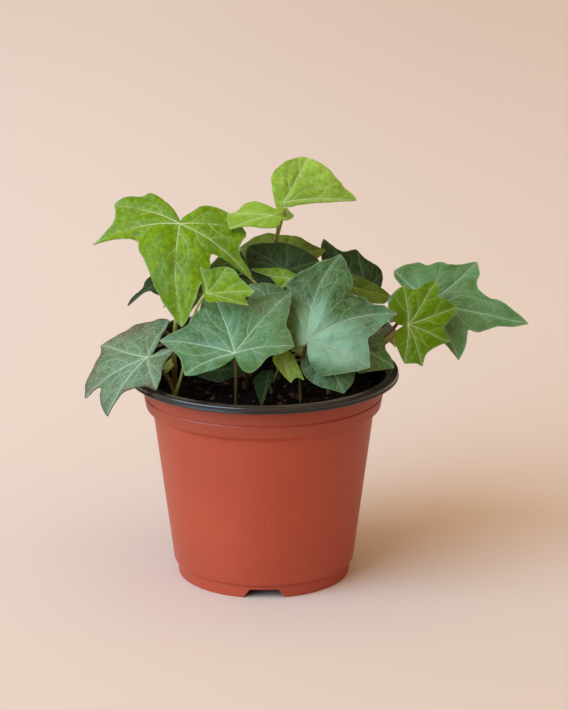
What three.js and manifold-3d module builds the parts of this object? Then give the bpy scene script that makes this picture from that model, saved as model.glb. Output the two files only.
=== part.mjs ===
// Potted ivy: a young ivy plant in a round grower's pot.
//
// Millimetres, +Z up. The camera side of the plant is -Y, +X is to its right.
// Every size below is measured from the pot's own axis on the ground; the whole plant is then
// moved by FRAME so that the origin lies under the middle of its outer box.

import * as THREE from 'three';
import { mergeVertices } from 'three/addons/utils/BufferGeometryUtils.js';
import Module from 'manifold-3d';

const wasm = await Module();
wasm.setup();

// ---------------------------------------------------------------- driving sizes

const FRAME = { x: -19.8, y: -7 };

const GAP = 0.3;

const POT = {
  sides: 40,
  wall: 1.1,
  ease: 0.4,
  foot: { radius: 38.5, top: 5.6, wall: 1.6 },
  plate: { low: 4.4, high: 5.8 },
  body: { low: 7.2, lowRadius: 40.4, high: 73.3, highRadius: 48.8 },
  collar: { low: 77.6, lowRadius: 52.2, groove: 83.5, high: 90.6, highRadius: 53.5, step: 0.4 },
  lip: { low: 91.2, high: 94.2, radius: 60, inner: 54.2, round: 0.9 },
  notch: { count: 3, topWidth: 12.5, bottomWidth: 18.6, height: 4.1 },
  drain: { count: 6, circle: 22, radius: 4, sides: 12 },
};

const SOIL = {
  sides: 28,
  rings: [0.22, 0.42, 0.62, 0.8, 0.93],
  top: 83.6,
  crown: 1.4,
  bumps: [{ height: 0.9, x: 0.31, y: 0.27 }, { height: 0.55, x: 0.12, y: 0.19 }],
  root: 68,
};

const BLADE = { thickness: 0.6, basalNotch: 1.5, rings: [0.55, 1], curveSteps: 2, dense: 15 };
const STALK = {
  radius: 0.8, sides: 5, steps: 5, depth: 0.5, reach: 0.36, back: 0.6, down: 0.8, climb: 0.7,
};
const STEM = { sides: 6, stepLength: 9 };

const GREEN = { dark: 0x4f7a4a, bright: 0x76a31f, young: 0x93bb4a, grey: 0x8aa37c, shade: 0x3a4a24 };

// ---------------------------------------------------------------- the vines
// Each stem's points run from its rooted end up to its growing end.

const STEMS = {
  stem_crown: {
    radius: 1.3, points: [[7, 16, 68], [7, 16, 92], [8, 17, 118], [5, 14, 143], [9, 10, 163]],
    bud: { along: 0.97, face: [10, 62], aim: 25, size: 8 },
  },
  stem_left: {
    radius: 1.3, points: [[-39, -10, 68], [-39, -10, 90], [-39, -4, 110], [-36, 6, 134]],
    bud: { along: 1, face: [-40, 40], aim: 20, size: 9 },
  },
  stem_left_low: {
    radius: 1.2, points: [[-38, -22, 68], [-38, -22, 84], [-40, -20, 91], [-43, -16, 98]],
    bud: { along: 1, face: [-60, 40], aim: -20, size: 7 },
  },
  stem_front: {
    radius: 1.1, points: [[4, -8, 68], [4, -8, 88], [8, -12, 98], [16, -15, 106]],
    bud: { along: 1, face: [20, 50], aim: 60, size: 7 },
  },
  stem_middle: {
    radius: 1.2, points: [[-8, 2, 68], [-8, 2, 90], [-4, 0, 108], [2, -2, 124]],
    bud: { along: 1, face: [-20, 50], aim: -30, size: 8 },
  },
  stem_right: {
    radius: 1.5, points: [[30, -4, 68], [30, -4, 88], [42, 0, 97], [58, 6, 107]],
    bud: { along: 1, face: [170, 45], aim: 180, size: 8 },
  },
  stem_back_left: {
    radius: 1.4, points: [[-20, 22, 68], [-20, 22, 90], [-22, 27, 106], [-22, 32, 120]],
    bud: { along: 1, face: [-170, 50], aim: 200, size: 9 },
  },
  stem_back_right: {
    radius: 1.4, points: [[22, 24, 68], [22, 24, 90], [27, 28, 104], [31, 31, 118]],
    bud: { along: 1, face: [170, 50], aim: 195, size: 8 },
  },
};

// ---------------------------------------------------------------- leaf outlines
// An outline is a list of polar points about the place where the stalk meets the blade, turned
// clockwise from the middle lobe as seen from above the blade: [angle, reach] is a rounded
// stretch or a notch, and [angle, reach, lift] is a pointed tip with its height off the blade's
// plane. Degrees and millimetres.

const mirrored = (half) => [
  ...half.map(([angle, ...rest]) => [-angle, ...rest]).reverse().filter(([angle]) => angle !== 0),
  ...half,
];

const scaled = (shape, size, droop) => shape.map(([angle, reach, lift]) => (
  lift === undefined ? [angle, reach * size] : [angle, reach * size, lift * size * droop]
));

const FIVE_LOBES = mirrored([
  [0, 1, -1], [26, 0.6], [52, 0.82, -0.8], [80, 0.55], [108, 0.62, -0.5], [150, 0.3],
]);
const THREE_LOBES = mirrored([[0, 1, -1], [24, 0.66], [54, 0.72, -0.7], [96, 0.46], [145, 0.34]]);

const ARC = { droop: 0.14 };
const mature = (size, droop = ARC.droop) => scaled(FIVE_LOBES, size, droop);
const young = (size, droop = ARC.droop) => scaled(THREE_LOBES, size, droop);

// ---------------------------------------------------------------- the leaves
// at: where the stalk meets the blade. face: compass turn of the upper side from the camera side
// towards +X, and its tilt up from the horizon. aim: clock turn of the middle lobe from uphill.
// stalk: the stem that carries the leaf and how far up it, or a place in the soil.

const LEAVES = {
  leaf_left_bright: {
    at: [-36, -6, 161], face: [-12, 38], aim: 180, colour: 'bright', stalk: ['stem_left', 0.93],
    edge: [[-166, 3.5], [-145, 7.5], [-133, 13.5], [-120, 18], [-107, 22.5], [-90, 28.5, -5],
      [-82, 28.5], [-74, 28], [-66, 30.5], [-61.5, 36], [-58, 39, -9], [-56.5, 32], [-55.5, 25],
      [-53, 20.4], [-49, 19.7], [-38, 25.3], [-23, 31], [-12, 41], [-7, 45.5, -8], [-2, 41],
      [10, 33], [26, 25], [39, 22], [56, 21], [65, 20], [72, 23.5], [76, 31], [79, 41, -9],
      [86, 33.5], [93, 31.4], [102, 31.8], [107, 34.5, -7], [113, 32.3], [120, 28.3],
      [125, 23.8], [135, 21], [142, 14], [152, 7]],
  },
  leaf_front_left: {
    at: [-12, -46, 114], face: [-8, 40], aim: 0, colour: 'dark', stalk: ['soil', -12, -24],
    edge: [[-157, 4.2], [-142, 8.6], [-126, 14], [-119, 20.5], [-113, 23.5, -3], [-104, 23.3],
      [-94, 24.2], [-83, 30.5], [-79, 34.5, -5], [-74, 31.5], [-69, 28.5], [-60, 25.4],
      [-54, 25.8], [-46, 26], [-41, 26], [-36, 28.5], [-31, 32], [-23, 36.2, -2], [-8, 29], [4, 25.5], [18, 29.3],
      [26, 33], [34, 38, -3], [39, 33.6], [47, 28.5], [54, 25.4], [62, 25.2], [76, 25.5, -3],
      [86, 19.8], [91, 15.4], [105, 13.1], [125, 12.1], [141, 11.2], [153, 8.6], [162, 4.4]],
  },
  leaf_front_right: {
    at: [19, -34, 116], face: [8, 34], aim: 25, colour: 'dark', stalk: ['soil', 17, -20],
    edge: [[-172, 3], [-157, 6], [-148, 8.6], [-120, 9.2], [-93, 9.8], [-80, 11], [-55, 14.8],
      [-44, 20], [-42, 24], [-40, 28, -1], [-28, 31], [-17, 34.3], [-8, 38.2], [-1, 42.8, 0],
      [4, 40.5], [8, 37.5], [13, 35.2], [17.5, 31], [18.5, 28.4], [22, 29.6], [29, 32.6],
      [37, 35], [42, 39], [48, 43, -5], [51, 38.5], [54, 34], [59, 30], [64.5, 26.4], [73, 26.4],
      [82, 28], [89, 28.8, -4], [97, 25.8], [108, 21.2], [124, 18], [139, 15.8], [148, 12.8],
      [159, 8]],
  },
  leaf_left_low: {
    at: [-50, -24, 106], face: [-30, 52], aim: -135, colour: 'grey', stalk: ['stem_left_low', 0.8],
    edge: [[-178, 8.5], [-168, 12.2, -1], [-148, 10], [-124, 9.2], [-94, 13.4], [-80, 16.5, -3],
      [-65, 14.6], [-45, 15], [-30, 17.5], [-24, 21], [-20.5, 25.5], [-18, 29, -12], [-10, 28],
      [2, 26], [9, 25], [11, 29], [12.5, 32.5], [14, 34.8, -14], [20, 33], [30, 31], [38, 28.5],
      [47, 27], [56, 30.5, -6], [64, 25.5], [77, 22.5], [93, 22], [110, 20.8], [124, 21.6],
      [134, 22, -1], [138, 18.5], [142, 13], [150, 7]],
  },
  leaf_right_far: {
    at: [72, 6, 122], face: [6, 44], aim: 100, colour: 'dark', stalk: ['stem_right', 0.86],
    edge: [[-170, 6], [-155, 10], [-146, 14], [-142, 18.5], [-135, 21.8, -2], [-122, 21.5],
      [-104, 21.3], [-91, 19.8], [-77, 22.3], [-66, 23], [-57, 27], [-49, 33.5, -2], [-44, 31],
      [-38, 28.8], [-33, 26.1], [-19, 26.8], [-12, 33.5], [-5, 40], [1, 47, -6], [4.5, 41.5],
      [9, 33.5], [17, 28.7], [22.5, 25.6], [25, 22], [32, 23.5], [44, 26.4], [53, 28.5, -7],
      [57, 24], [62, 20.3], [75, 17.5], [92, 16.5], [110, 18, -2], [140, 11]],
  },
  leaf_right_bright: {
    at: [63, -12, 117], face: [4, 34], aim: 80, colour: 'bright', stalk: ['stem_right', 0.62],
    edge: [[-161, 5.3], [-140, 8], [-122, 11.3], [-109, 13.4], [-95, 16], [-82, 19, -1], [-72, 17.6],
      [-63, 17.6], [-54, 21.8], [-45, 25.2, -2], [-38, 22.3], [-32, 19.4], [-21, 21.5],
      [-11, 24.4, -3], [-2, 21], [6, 17.9], [15, 16], [24, 17.8], [30, 20, -4], [41, 16.5],
      [61, 14.6], [73, 15.6], [82, 18.8, -4], [91, 16.9], [107, 17, -3], [121, 12.6], [144, 8.6],
      [163, 5.2]],
  },
  leaf_small_folded: {
    at: [-24, -37, 138], face: [-10, 30], aim: 75, colour: 'young', stalk: ['stem_left_low', 0.5],
    edge: [[-93, 12.5, 1], [-78, 10.2], [-59, 11.4], [-40, 14.2, 2], [-28, 15.2], [-13, 15.5],
      [1, 17.6], [11, 21, 2], [17, 19], [20, 17], [28, 19.3, -1], [31, 14.9], [36, 9.5], [60, 5],
      [90, 4]],
  },
  leaf_crown_top: {
    at: [9, 8, 167], face: [12, 38], aim: 40, colour: 'young', stalk: ['stem_crown', 1],
    edge: [[-165, 4], [-120, 4], [-90, 5.5], [-67, 9.8], [-55, 13.7], [-40, 17.7], [-26, 22],
      [-16, 25.1], [-8, 27.3, -3], [2, 27.8], [14, 28.6], [23, 29.1], [28, 29.3], [36, 31],
      [46, 35, -6], [47.5, 29], [49, 22], [51, 14], [60, 6], [90, 3]],
  },
  leaf_crown_left: {
    at: [4.3, -6, 164.7], face: [12, 58], aim: -85, colour: 'young', stalk: ['stem_crown', 0.8],
    edge: [[-165, 5], [-129, 4.8], [-95, 7.1], [-59, 8.6], [-32, 12], [-22, 15.5], [-17, 20.4, -3],
      [-5, 20], [8, 19.8, -2], [12, 16], [32, 13.8], [48, 11.5], [56, 10], [66, 7.4], [78, 5.6],
      [97, 4], [115, 4.2], [133, 7], [158, 5]],
  },
  leaf_under_right: {
    at: [26, -31, 109], face: [14, 40], aim: 170, colour: 'dark', stalk: ['stem_front', 0.8],
    edge: [[-140, 5], [-72, 11], [-56, 15, -2], [-31, 17], [-10, 19, -3], [12, 15], [38, 13, -3],
      [65, 12], [90, 10], [130, 5]],
  },
  leaf_right_under: {
    at: [39, -22, 111], face: [20, 42], aim: 115, colour: 'dark', stalk: ['stem_right', 0.4],
    edge: [[-130, 6], [-95, 7.5], [-62, 12], [-47, 14, -1], [-38, 15], [-25, 15.2], [-12, 15],
      [-3, 17.7], [8, 21, -4], [20, 17.5], [36, 14.6], [66, 13, -2], [98, 9], [140, 5]],
  },
  leaf_behind_bright: {
    at: [60, -3, 121], face: [0, 40], aim: -20, colour: 'dark', stalk: ['stem_right', 0.78],
    edge: [[-160, 4], [-118, 7, -1], [-73, 5], [-20, 8, -1], [22, 12, -1], [64, 8], [120, 5, -1],
      [160, 4]],
  },
  leaf_back_right: {
    at: [46, 30, 121], face: [10, 30], aim: -10, colour: 'shade', stalk: ['stem_back_right', 0.9],
    edge: [[-140, 8], [-75, 12, -2], [-42, 22], [-30, 27.5], [-24, 30.5], [-21, 31.5, -3],
      [-19, 26.7], [-16, 23], [-11, 21], [1, 20.8], [7, 20.4, -3], [15, 17], [35, 14.7],
      [54, 13.6, -3], [66, 11], [88, 7.7], [140, 6]],
  },
  leaf_back_olive: {
    at: [39, 16, 127], face: [0, 30], aim: 110, colour: 'shade', stalk: ['stem_back_right', 0.7],
    edge: [[-150, 4], [-105, 5.5], [-70, 6], [-42, 8], [-19, 13.7], [-7, 19, -2], [6, 16.9],
      [12, 14.5], [21, 11.7], [40, 9], [99, 6], [150, 4]],
  },
  leaf_crown_front_dark: {
    at: [10, -4, 139], face: [-5, 28], aim: 0, colour: 'shade', stalk: ['stem_middle', 0.9],
    edge: [[-140, 7], [-110, 12], [-99, 14.5], [-83, 16.8], [-71, 19.2, -3], [-58, 21.5, -3],
      [-50, 20], [-35, 16.4], [-2, 13.6, -2], [20, 12.8], [37, 13.1], [55, 14.5], [68, 15.5, -4],
      [79, 14], [100, 10], [140, 7]],
  },
  leaf_crown_back_dark: {
    at: [10, 26, 138], face: [0, 40], aim: 0, colour: 'shade', stalk: ['stem_crown', 0.7],
    edge: [[-150, 7], [-105, 14], [-73, 22, -4], [-63, 19.8], [-51, 18.5], [-38, 16.8], [-28, 15.3],
      [-14, 13], [-4, 12.4], [12, 12.8, -3], [27, 13], [49, 13.2], [61, 15], [72, 19, -4],
      [82, 16], [110, 11], [150, 7]],
  },
  leaf_crown_small: {
    at: [12, -9, 137], face: [-10, 35], aim: -90, colour: 'bright', stalk: ['stem_middle', 0.7],
    edge: [[-150, 3], [-90, 2.5], [-60, 4], [-44, 6.2, -1], [-26, 6.6], [-7, 7.5], [5, 9.5], [10, 13],
      [13.5, 19.3, -2], [17, 16.5], [21, 13.3], [28, 10.3], [44, 7.2], [64, 4.6], [100, 3],
      [135, 3]],
  },
  leaf_middle_teal: {
    at: [6, -21, 129], face: [-6, 26], aim: -15, colour: 'dark', stalk: ['stem_front', 0.7],
    edge: [[-140, 8], [-90, 12, -2], [-60, 13], [-40, 15.8, -2], [-35, 14.2], [-18, 11.4], [1, 9.3],
      [28, 7.8], [54, 7, -2], [100, 7], [145, 6]],
  },
  leaf_left_back_small: {
    at: [-48.5, 14, 128.4], face: [-20, 40], aim: -125, colour: 'shade', stalk: ['stem_left', 0.8],
    edge: [[-150, 9], [-110, 8], [-86, 5.2], [-60, 3.6], [-35, 3], [-14, 4.2], [-8, 6.4], [-7.5, 9],
      [-6.5, 12], [-4.5, 15.4, -4], [0, 13], [3.5, 10.3], [7, 7], [17, 5.2], [49, 4.8],
      [79, 4.8], [100, 5], [130, 7], [155, 9]],
  },
  leaf_low_yellow: {
    at: [8, -30, 108], face: [0, 30], aim: 165, colour: 'young', stalk: ['stem_front', 0.72],
    edge: [[-110, 4], [-46, 8], [-29, 14, -2], [-18, 11], [-4, 12, -2], [30, 6], [100, 4]],
  },
  leaf_low_shaded: {
    at: [-15, -8, 96], face: [0, 60], aim: 170, colour: 'dark', stalk: ['stem_middle', 0.3],
    edge: [[-150, 5], [-90, 8], [-35, 7], [-10, 5.5], [19, 7], [38, 9], [60, 10.5], [82, 13.5],
      [96, 17, -1], [110, 14], [140, 8]],
  },
  leaf_low_hanging: {
    at: [2, -32, 100], face: [0, 22], aim: 180, colour: 'dark', stalk: ['stem_front', 0.34],
    edge: [[-150, 3], [-60, 3], [-20, 3.4], [1, 6], [8.5, 10.3], [12, 13.8, -1], [23, 10.6],
      [36, 8.6], [50, 7.5], [75, 6.5], [100, 4], [140, 3]],
  },
  leaf_middle_back: {
    at: [-16, 3, 115], face: [-10, 65], aim: -25, colour: 'dark', stalk: ['stem_middle', 0.55],
    edge: mature(22),
  },
  leaf_middle_right: {
    at: [24, 3, 118], face: [25, 60], aim: 20, colour: 'dark', stalk: ['stem_back_right', 0.5],
    edge: mature(22),
  },
  leaf_back_upper: {
    at: [-23, 28, 126], face: [-155, 62], aim: 178, colour: 'dark', stalk: ['stem_back_left', 0.86],
    edge: mature(30, 0.2),
  },
  leaf_back_middle: {
    at: [3, 43, 123], face: [176, 52], aim: 182, colour: 'dark', stalk: ['stem_crown', 0.42],
    edge: mature(34, 0.18),
  },
  leaf_back_corner: {
    at: [42, 42, 110], face: [146, 50], aim: 180, colour: 'dark', stalk: ['stem_back_right', 0.85],
    edge: mature(29, 0.18),
  },
  leaf_back_low_left: {
    at: [-37, 43, 102], face: [-148, 44], aim: 184, colour: 'dark', stalk: ['stem_back_left', 0.62],
    edge: mature(30, 0.2),
  },
  leaf_back_low_middle: {
    at: [-3, 56, 103], face: [-176, 46], aim: 178, colour: 'dark', stalk: ['stem_back_left', 0.4],
    edge: mature(31, 0.2),
  },
  leaf_back_low_right: {
    at: [32, 54, 98], face: [155, 42], aim: 180, colour: 'grey', stalk: ['stem_back_right', 0.62],
    edge: mature(27, 0.2),
  },
  leaf_side_left: {
    at: [-46, 22, 106], face: [-125, 48], aim: 184, colour: 'grey', stalk: ['stem_left', 0.45],
    edge: mature(27, 0.2),
  },
  leaf_side_right: {
    at: [54, 21, 108], face: [125, 50], aim: 178, colour: 'dark', stalk: ['stem_right', 0.7],
    edge: mature(24, 0.18),
  },
  leaf_back_young: {
    at: [-13, 42, 134], face: [-165, 48], aim: 190, colour: 'bright', stalk: ['stem_crown', 0.48],
    edge: young(22, 0.2),
  },
  leaf_back_bright: {
    at: [15, 44, 132], face: [170, 46], aim: 172, colour: 'bright', stalk: ['stem_crown', 0.6],
    edge: young(22, 0.2),
  },
};

// ---------------------------------------------------------------- solids

/** Closed geometry to a solid that can be joined and cut. */
function toSolid(geometry) {
  const bare = geometry.clone();
  bare.deleteAttribute('normal');
  bare.deleteAttribute('uv');
  const merged = mergeVertices(bare, 1e-4);
  return new wasm.Manifold(new wasm.Mesh({
    numProp: 3,
    vertProperties: new Float32Array(merged.attributes.position.array),
    triVerts: new Uint32Array(merged.index.array),
  }));
}

/** A solid's largest body, back to geometry. */
function toGeometry(solid) {
  const bodies = solid.decompose().sort((a, b) => b.volume() - a.volume());
  const mesh = bodies[0].getMesh();
  const geometry = new THREE.BufferGeometry();
  geometry.setAttribute('position', new THREE.BufferAttribute(mesh.vertProperties, mesh.numProp));
  geometry.setIndex(new THREE.BufferAttribute(mesh.triVerts, 1));
  return geometry;
}

/** A round bar along a curve. */
function bar(curve, radius, sides, steps) {
  const section = new THREE.Shape();
  for (let i = 0; i < sides; i += 1) {
    const turn = (2 * Math.PI * i) / sides;
    const point = [radius * Math.cos(turn), radius * Math.sin(turn)];
    if (i === 0) section.moveTo(...point);
    else section.lineTo(...point);
  }
  return new THREE.ExtrudeGeometry(section, { extrudePath: curve, steps, curveSegments: 1 });
}

/** The clearance round a bar: the same curve, wider by the gap and longer by it at each end. */
function sleeve(curve, radius, sides, steps) {
  const start = curve.getPoint(0).addScaledVector(curve.getTangent(0), -GAP);
  const end = curve.getPoint(1).addScaledVector(curve.getTangent(1), GAP);
  const middle = Array.from({ length: steps - 1 }, (_, i) => curve.getPoint((i + 1) / steps));
  const route = new THREE.CatmullRomCurve3([start, ...middle, end]);
  const wide = (radius + GAP) / Math.cos(Math.PI / sides);
  return toSolid(bar(route, wide, sides + 1, steps));
}

// ---------------------------------------------------------------- pot

/** The pot's wall, foot to lip up the outside and back down the inside: [radius, height]. */
function potProfile() {
  const { wall, ease, foot, plate, body, collar, lip } = POT;
  const profile = [
    [0, plate.low], [foot.radius - foot.wall, plate.low], [foot.radius - foot.wall, 0],
    [foot.radius, 0], [foot.radius + ease / 2, foot.top],
    [body.lowRadius - ease, foot.top + 2 * ease], [body.lowRadius, body.low],
    [body.highRadius, body.high],
    [collar.lowRadius - ease, collar.low - ease], [collar.lowRadius, collar.low],
    [collar.highRadius - ease, collar.groove - ease],
    [collar.highRadius - collar.step - ease, collar.groove],
    [collar.highRadius, collar.groove + ease], [collar.highRadius, collar.high],
    [lip.radius - lip.round, lip.low], [lip.radius, lip.low + lip.round],
    [lip.radius, lip.high - lip.round], [lip.radius - lip.round, lip.high],
    [lip.inner + 2 * ease, lip.high], [lip.inner, lip.high - ease],
    [collar.highRadius - wall, collar.high - wall], [collar.highRadius - wall, collar.groove],
    [collar.lowRadius - wall, collar.low], [body.highRadius - wall, body.high],
    [body.lowRadius - wall, body.low], [foot.radius - wall, plate.high], [0, plate.high],
  ];
  return profile.map(([r, z]) => new THREE.Vector2(r, z));
}

/** What cuts one notch out of the foot ring, from the axis out towards the camera side. */
function notchCutter() {
  const { topWidth, bottomWidth, height } = POT.notch;
  const below = -1;
  const flare = (bottomWidth - topWidth) / 2 / height;
  const opening = new THREE.Shape([
    new THREE.Vector2(-bottomWidth / 2 + flare * below, below),
    new THREE.Vector2(bottomWidth / 2 - flare * below, below),
    new THREE.Vector2(topWidth / 2, height),
    new THREE.Vector2(-topWidth / 2, height),
  ]);
  const depth = POT.body.lowRadius;
  return new THREE.ExtrudeGeometry(opening, { depth, bevelEnabled: false }).rotateX(Math.PI / 2);
}

function makePot() {
  const shell = new THREE.LatheGeometry(potProfile(), POT.sides).rotateX(Math.PI / 2);
  let pot = toSolid(shell);
  const { notch, drain, plate } = POT;
  for (let i = 0; i < notch.count; i += 1) {
    const turn = (2 * Math.PI * i) / notch.count;
    pot = pot.subtract(toSolid(notchCutter().rotateZ(turn)));
  }
  for (let i = 0; i < drain.count; i += 1) {
    const turn = (2 * Math.PI * (i + 0.5)) / drain.count;
    const hole = new THREE.CylinderGeometry(drain.radius, drain.radius, plate.high, drain.sides)
      .rotateX(Math.PI / 2)
      .translate(drain.circle * Math.sin(turn), drain.circle * Math.cos(turn), plate.high);
    pot = pot.subtract(toSolid(hole));
  }
  return toGeometry(pot);
}

// ---------------------------------------------------------------- vines and stalks

const vector = ([x, y, z]) => new THREE.Vector3(x, y, z);

const stemCurves = Object.fromEntries(Object.entries(STEMS).map(([name, stem]) => (
  [name, new THREE.CatmullRomCurve3(stem.points.map(vector))]
)));

const stemSteps = (name) => Math.round(stemCurves[name].getLength() / STEM.stepLength);

const stemSleeve = (name) => (
  sleeve(stemCurves[name], STEMS[name].radius, STEM.sides, stemSteps(name))
);

/** The blade's own axes: out of its upper side, along its middle lobe, and to that lobe's right. */
function bladeAxes({ face, aim }) {
  const [turn, tilt] = face.map(THREE.MathUtils.degToRad);
  const normal = new THREE.Vector3(
    Math.sin(turn) * Math.cos(tilt), -Math.cos(turn) * Math.cos(tilt), Math.sin(tilt),
  );
  const uphill = new THREE.Vector3(0, 0, 1).projectOnPlane(normal).normalize();
  const across = new THREE.Vector3().crossVectors(uphill, normal);
  const clock = THREE.MathUtils.degToRad(aim);
  const middle = across.clone().multiplyScalar(Math.sin(clock))
    .addScaledVector(uphill, Math.cos(clock));
  const side = across.clone().multiplyScalar(Math.cos(clock))
    .addScaledVector(uphill, -Math.sin(clock));
  return { normal, middle, side };
}

/** The stalk's curve, from under the blade's base to its seat on a stem or in the soil. */
function stalkCurve(leaf) {
  const { normal, middle } = bladeAxes(leaf);
  const start = vector(leaf.at).addScaledVector(normal, -STALK.depth);
  const leave = middle.clone().multiplyScalar(-STALK.back).addScaledVector(normal, -STALK.down);
  const [seat, ...place] = leaf.stalk;
  let foot;
  let rise;
  if (seat === 'soil') {
    foot = new THREE.Vector3(...place, SOIL.root);
    rise = new THREE.Vector3(0, 0, 1);
  } else {
    foot = stemCurves[seat].getPoint(place[0]);
    const along = stemCurves[seat].getTangent(place[0]);
    rise = start.clone().sub(foot).projectOnPlane(along).normalize();
    rise.addScaledVector(along, STALK.climb).normalize();
  }
  const reach = STALK.reach * start.distanceTo(foot);
  const bow = start.clone().addScaledVector(leave, reach);
  const lean = foot.clone().addScaledVector(rise, reach);
  return new THREE.CubicBezierCurve3(start, bow, lean, foot);
}

// ---------------------------------------------------------------- blades

const polar = ([angle, reach]) => {
  const turn = THREE.MathUtils.degToRad(angle);
  return new THREE.Vector2(reach * Math.sin(turn), reach * Math.cos(turn));
};

/** How strongly the blade bends out of its plane towards an angle: lift over reach squared. */
function bendTowards(edge, angle) {
  const tips = edge.filter((point) => point.length === 3);
  const bends = tips.map(([, reach, lift]) => lift / reach ** 2);
  const next = tips.findIndex(([tipAngle]) => tipAngle > angle);
  if (next === 0) return bends[0];
  if (next < 0) return bends[bends.length - 1];
  const [from] = tips[next - 1];
  const [to] = tips[next];
  return THREE.MathUtils.lerp(bends[next - 1], bends[next], (angle - from) / (to - from));
}

/** The blade's closed outline: corners at the tips and the base, curves between them. */
function outline(edge) {
  const points = [new THREE.Vector2(0, -BLADE.basalNotch), ...edge.map(polar)];
  const corner = [true, ...edge.map((point) => point.length === 3)];
  const count = points.length;
  const tangents = points.map((_, i) => (
    points[(i + 1) % count].clone().sub(points[(i + count - 1) % count]).normalize()
  ));
  const path = [];
  points.forEach((from, i) => {
    const j = (i + 1) % count;
    const to = points[j];
    const third = from.distanceTo(to) / 3;
    let a = corner[i] ? null : from.clone().addScaledVector(tangents[i], third);
    let b = corner[j] ? null : to.clone().addScaledVector(tangents[j], -third);
    if (!a && !b) {
      path.push(from);
      return;
    }
    a ??= from.clone().add(b).divideScalar(2);
    b ??= to.clone().add(a).divideScalar(2);
    const curve = new THREE.CubicBezierCurve(from, a, b, to);
    const steps = edge.length > BLADE.dense ? 1 : BLADE.curveSteps;
    for (let k = 0; k < steps; k += 1) path.push(curve.getPoint(k / steps));
  });
  return path;
}

/** A thin bent blade: rings of the outline about the stalk's end, on both faces alike. */
function makeBlade(leaf) {
  const { normal, middle, side } = bladeAxes(leaf);
  const path = outline(leaf.edge);
  const count = path.length;
  const positions = [];
  const indices = [];
  const half = BLADE.thickness / 2;
  const ringCount = BLADE.rings.length;
  for (const offset of [half, -half]) {
    positions.push(...vector(leaf.at).addScaledVector(normal, offset));
    for (const ring of BLADE.rings) {
      for (const point of path) {
        const angle = THREE.MathUtils.radToDeg(Math.atan2(point.x, point.y));
        const reach = ring * point.length();
        const lift = bendTowards(leaf.edge, angle) * reach ** 2;
        positions.push(...vector(leaf.at)
          .addScaledVector(side, ring * point.x)
          .addScaledVector(middle, ring * point.y)
          .addScaledVector(normal, lift + offset));
      }
    }
  }
  const under = 1 + ringCount * count;
  const at = (face, ring, i) => face + 1 + ring * count + (i % count);
  for (let i = 0; i < count; i += 1) {
    indices.push(0, at(0, 0, i + 1), at(0, 0, i));
    indices.push(under, at(under, 0, i), at(under, 0, i + 1));
    for (let ring = 1; ring < ringCount; ring += 1) {
      for (const [face, flip] of [[0, false], [under, true]]) {
        const quad = [
          at(face, ring - 1, i), at(face, ring - 1, i + 1), at(face, ring, i + 1), at(face, ring, i),
        ];
        if (flip) indices.push(quad[0], quad[2], quad[1], quad[0], quad[3], quad[2]);
        else indices.push(quad[0], quad[1], quad[2], quad[0], quad[2], quad[3]);
      }
    }
    const last = ringCount - 1;
    const rim = [at(0, last, i), at(0, last, i + 1), at(under, last, i + 1), at(under, last, i)];
    indices.push(rim[0], rim[1], rim[2], rim[0], rim[2], rim[3]);
  }
  const geometry = new THREE.BufferGeometry();
  geometry.setAttribute('position', new THREE.Float32BufferAttribute(positions, 3));
  geometry.setIndex(indices);
  return geometry;
}

/** A leaf: its blade joined to its stalk, which stops a gap short of the stem that bears it. */
function makeLeaf(leaf) {
  const stalk = toSolid(bar(stalkCurve(leaf), STALK.radius, STALK.sides, STALK.steps));
  const whole = toSolid(makeBlade(leaf)).add(stalk);
  const [seat] = leaf.stalk;
  return toGeometry(seat === 'soil' ? whole : whole.subtract(stemSleeve(seat)));
}

/** A stem with the small folded bud at its growing end. */
function makeStem(name) {
  const { radius, bud } = STEMS[name];
  const curve = stemCurves[name];
  const stem = toSolid(bar(curve, radius, STEM.sides, stemSteps(name)));
  const tip = curve.getPoint(bud.along).toArray();
  const blade = makeBlade({ at: tip, face: bud.face, aim: bud.aim, edge: young(bud.size) });
  return toGeometry(stem.add(toSolid(blade)));
}

// ---------------------------------------------------------------- soil

/** Height of the soil's uneven top. */
function soilTop(x, y) {
  const edge = POT.collar.highRadius;
  const dome = SOIL.crown * (1 - (x * x + y * y) / edge ** 2);
  const [fine, broad] = SOIL.bumps;
  const ripple = fine.height * Math.sin(x * fine.x + 1) * Math.cos(y * fine.y);
  const swell = broad.height * Math.sin(x * broad.x - y * broad.y);
  return SOIL.top + dome + ripple + swell;
}

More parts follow.
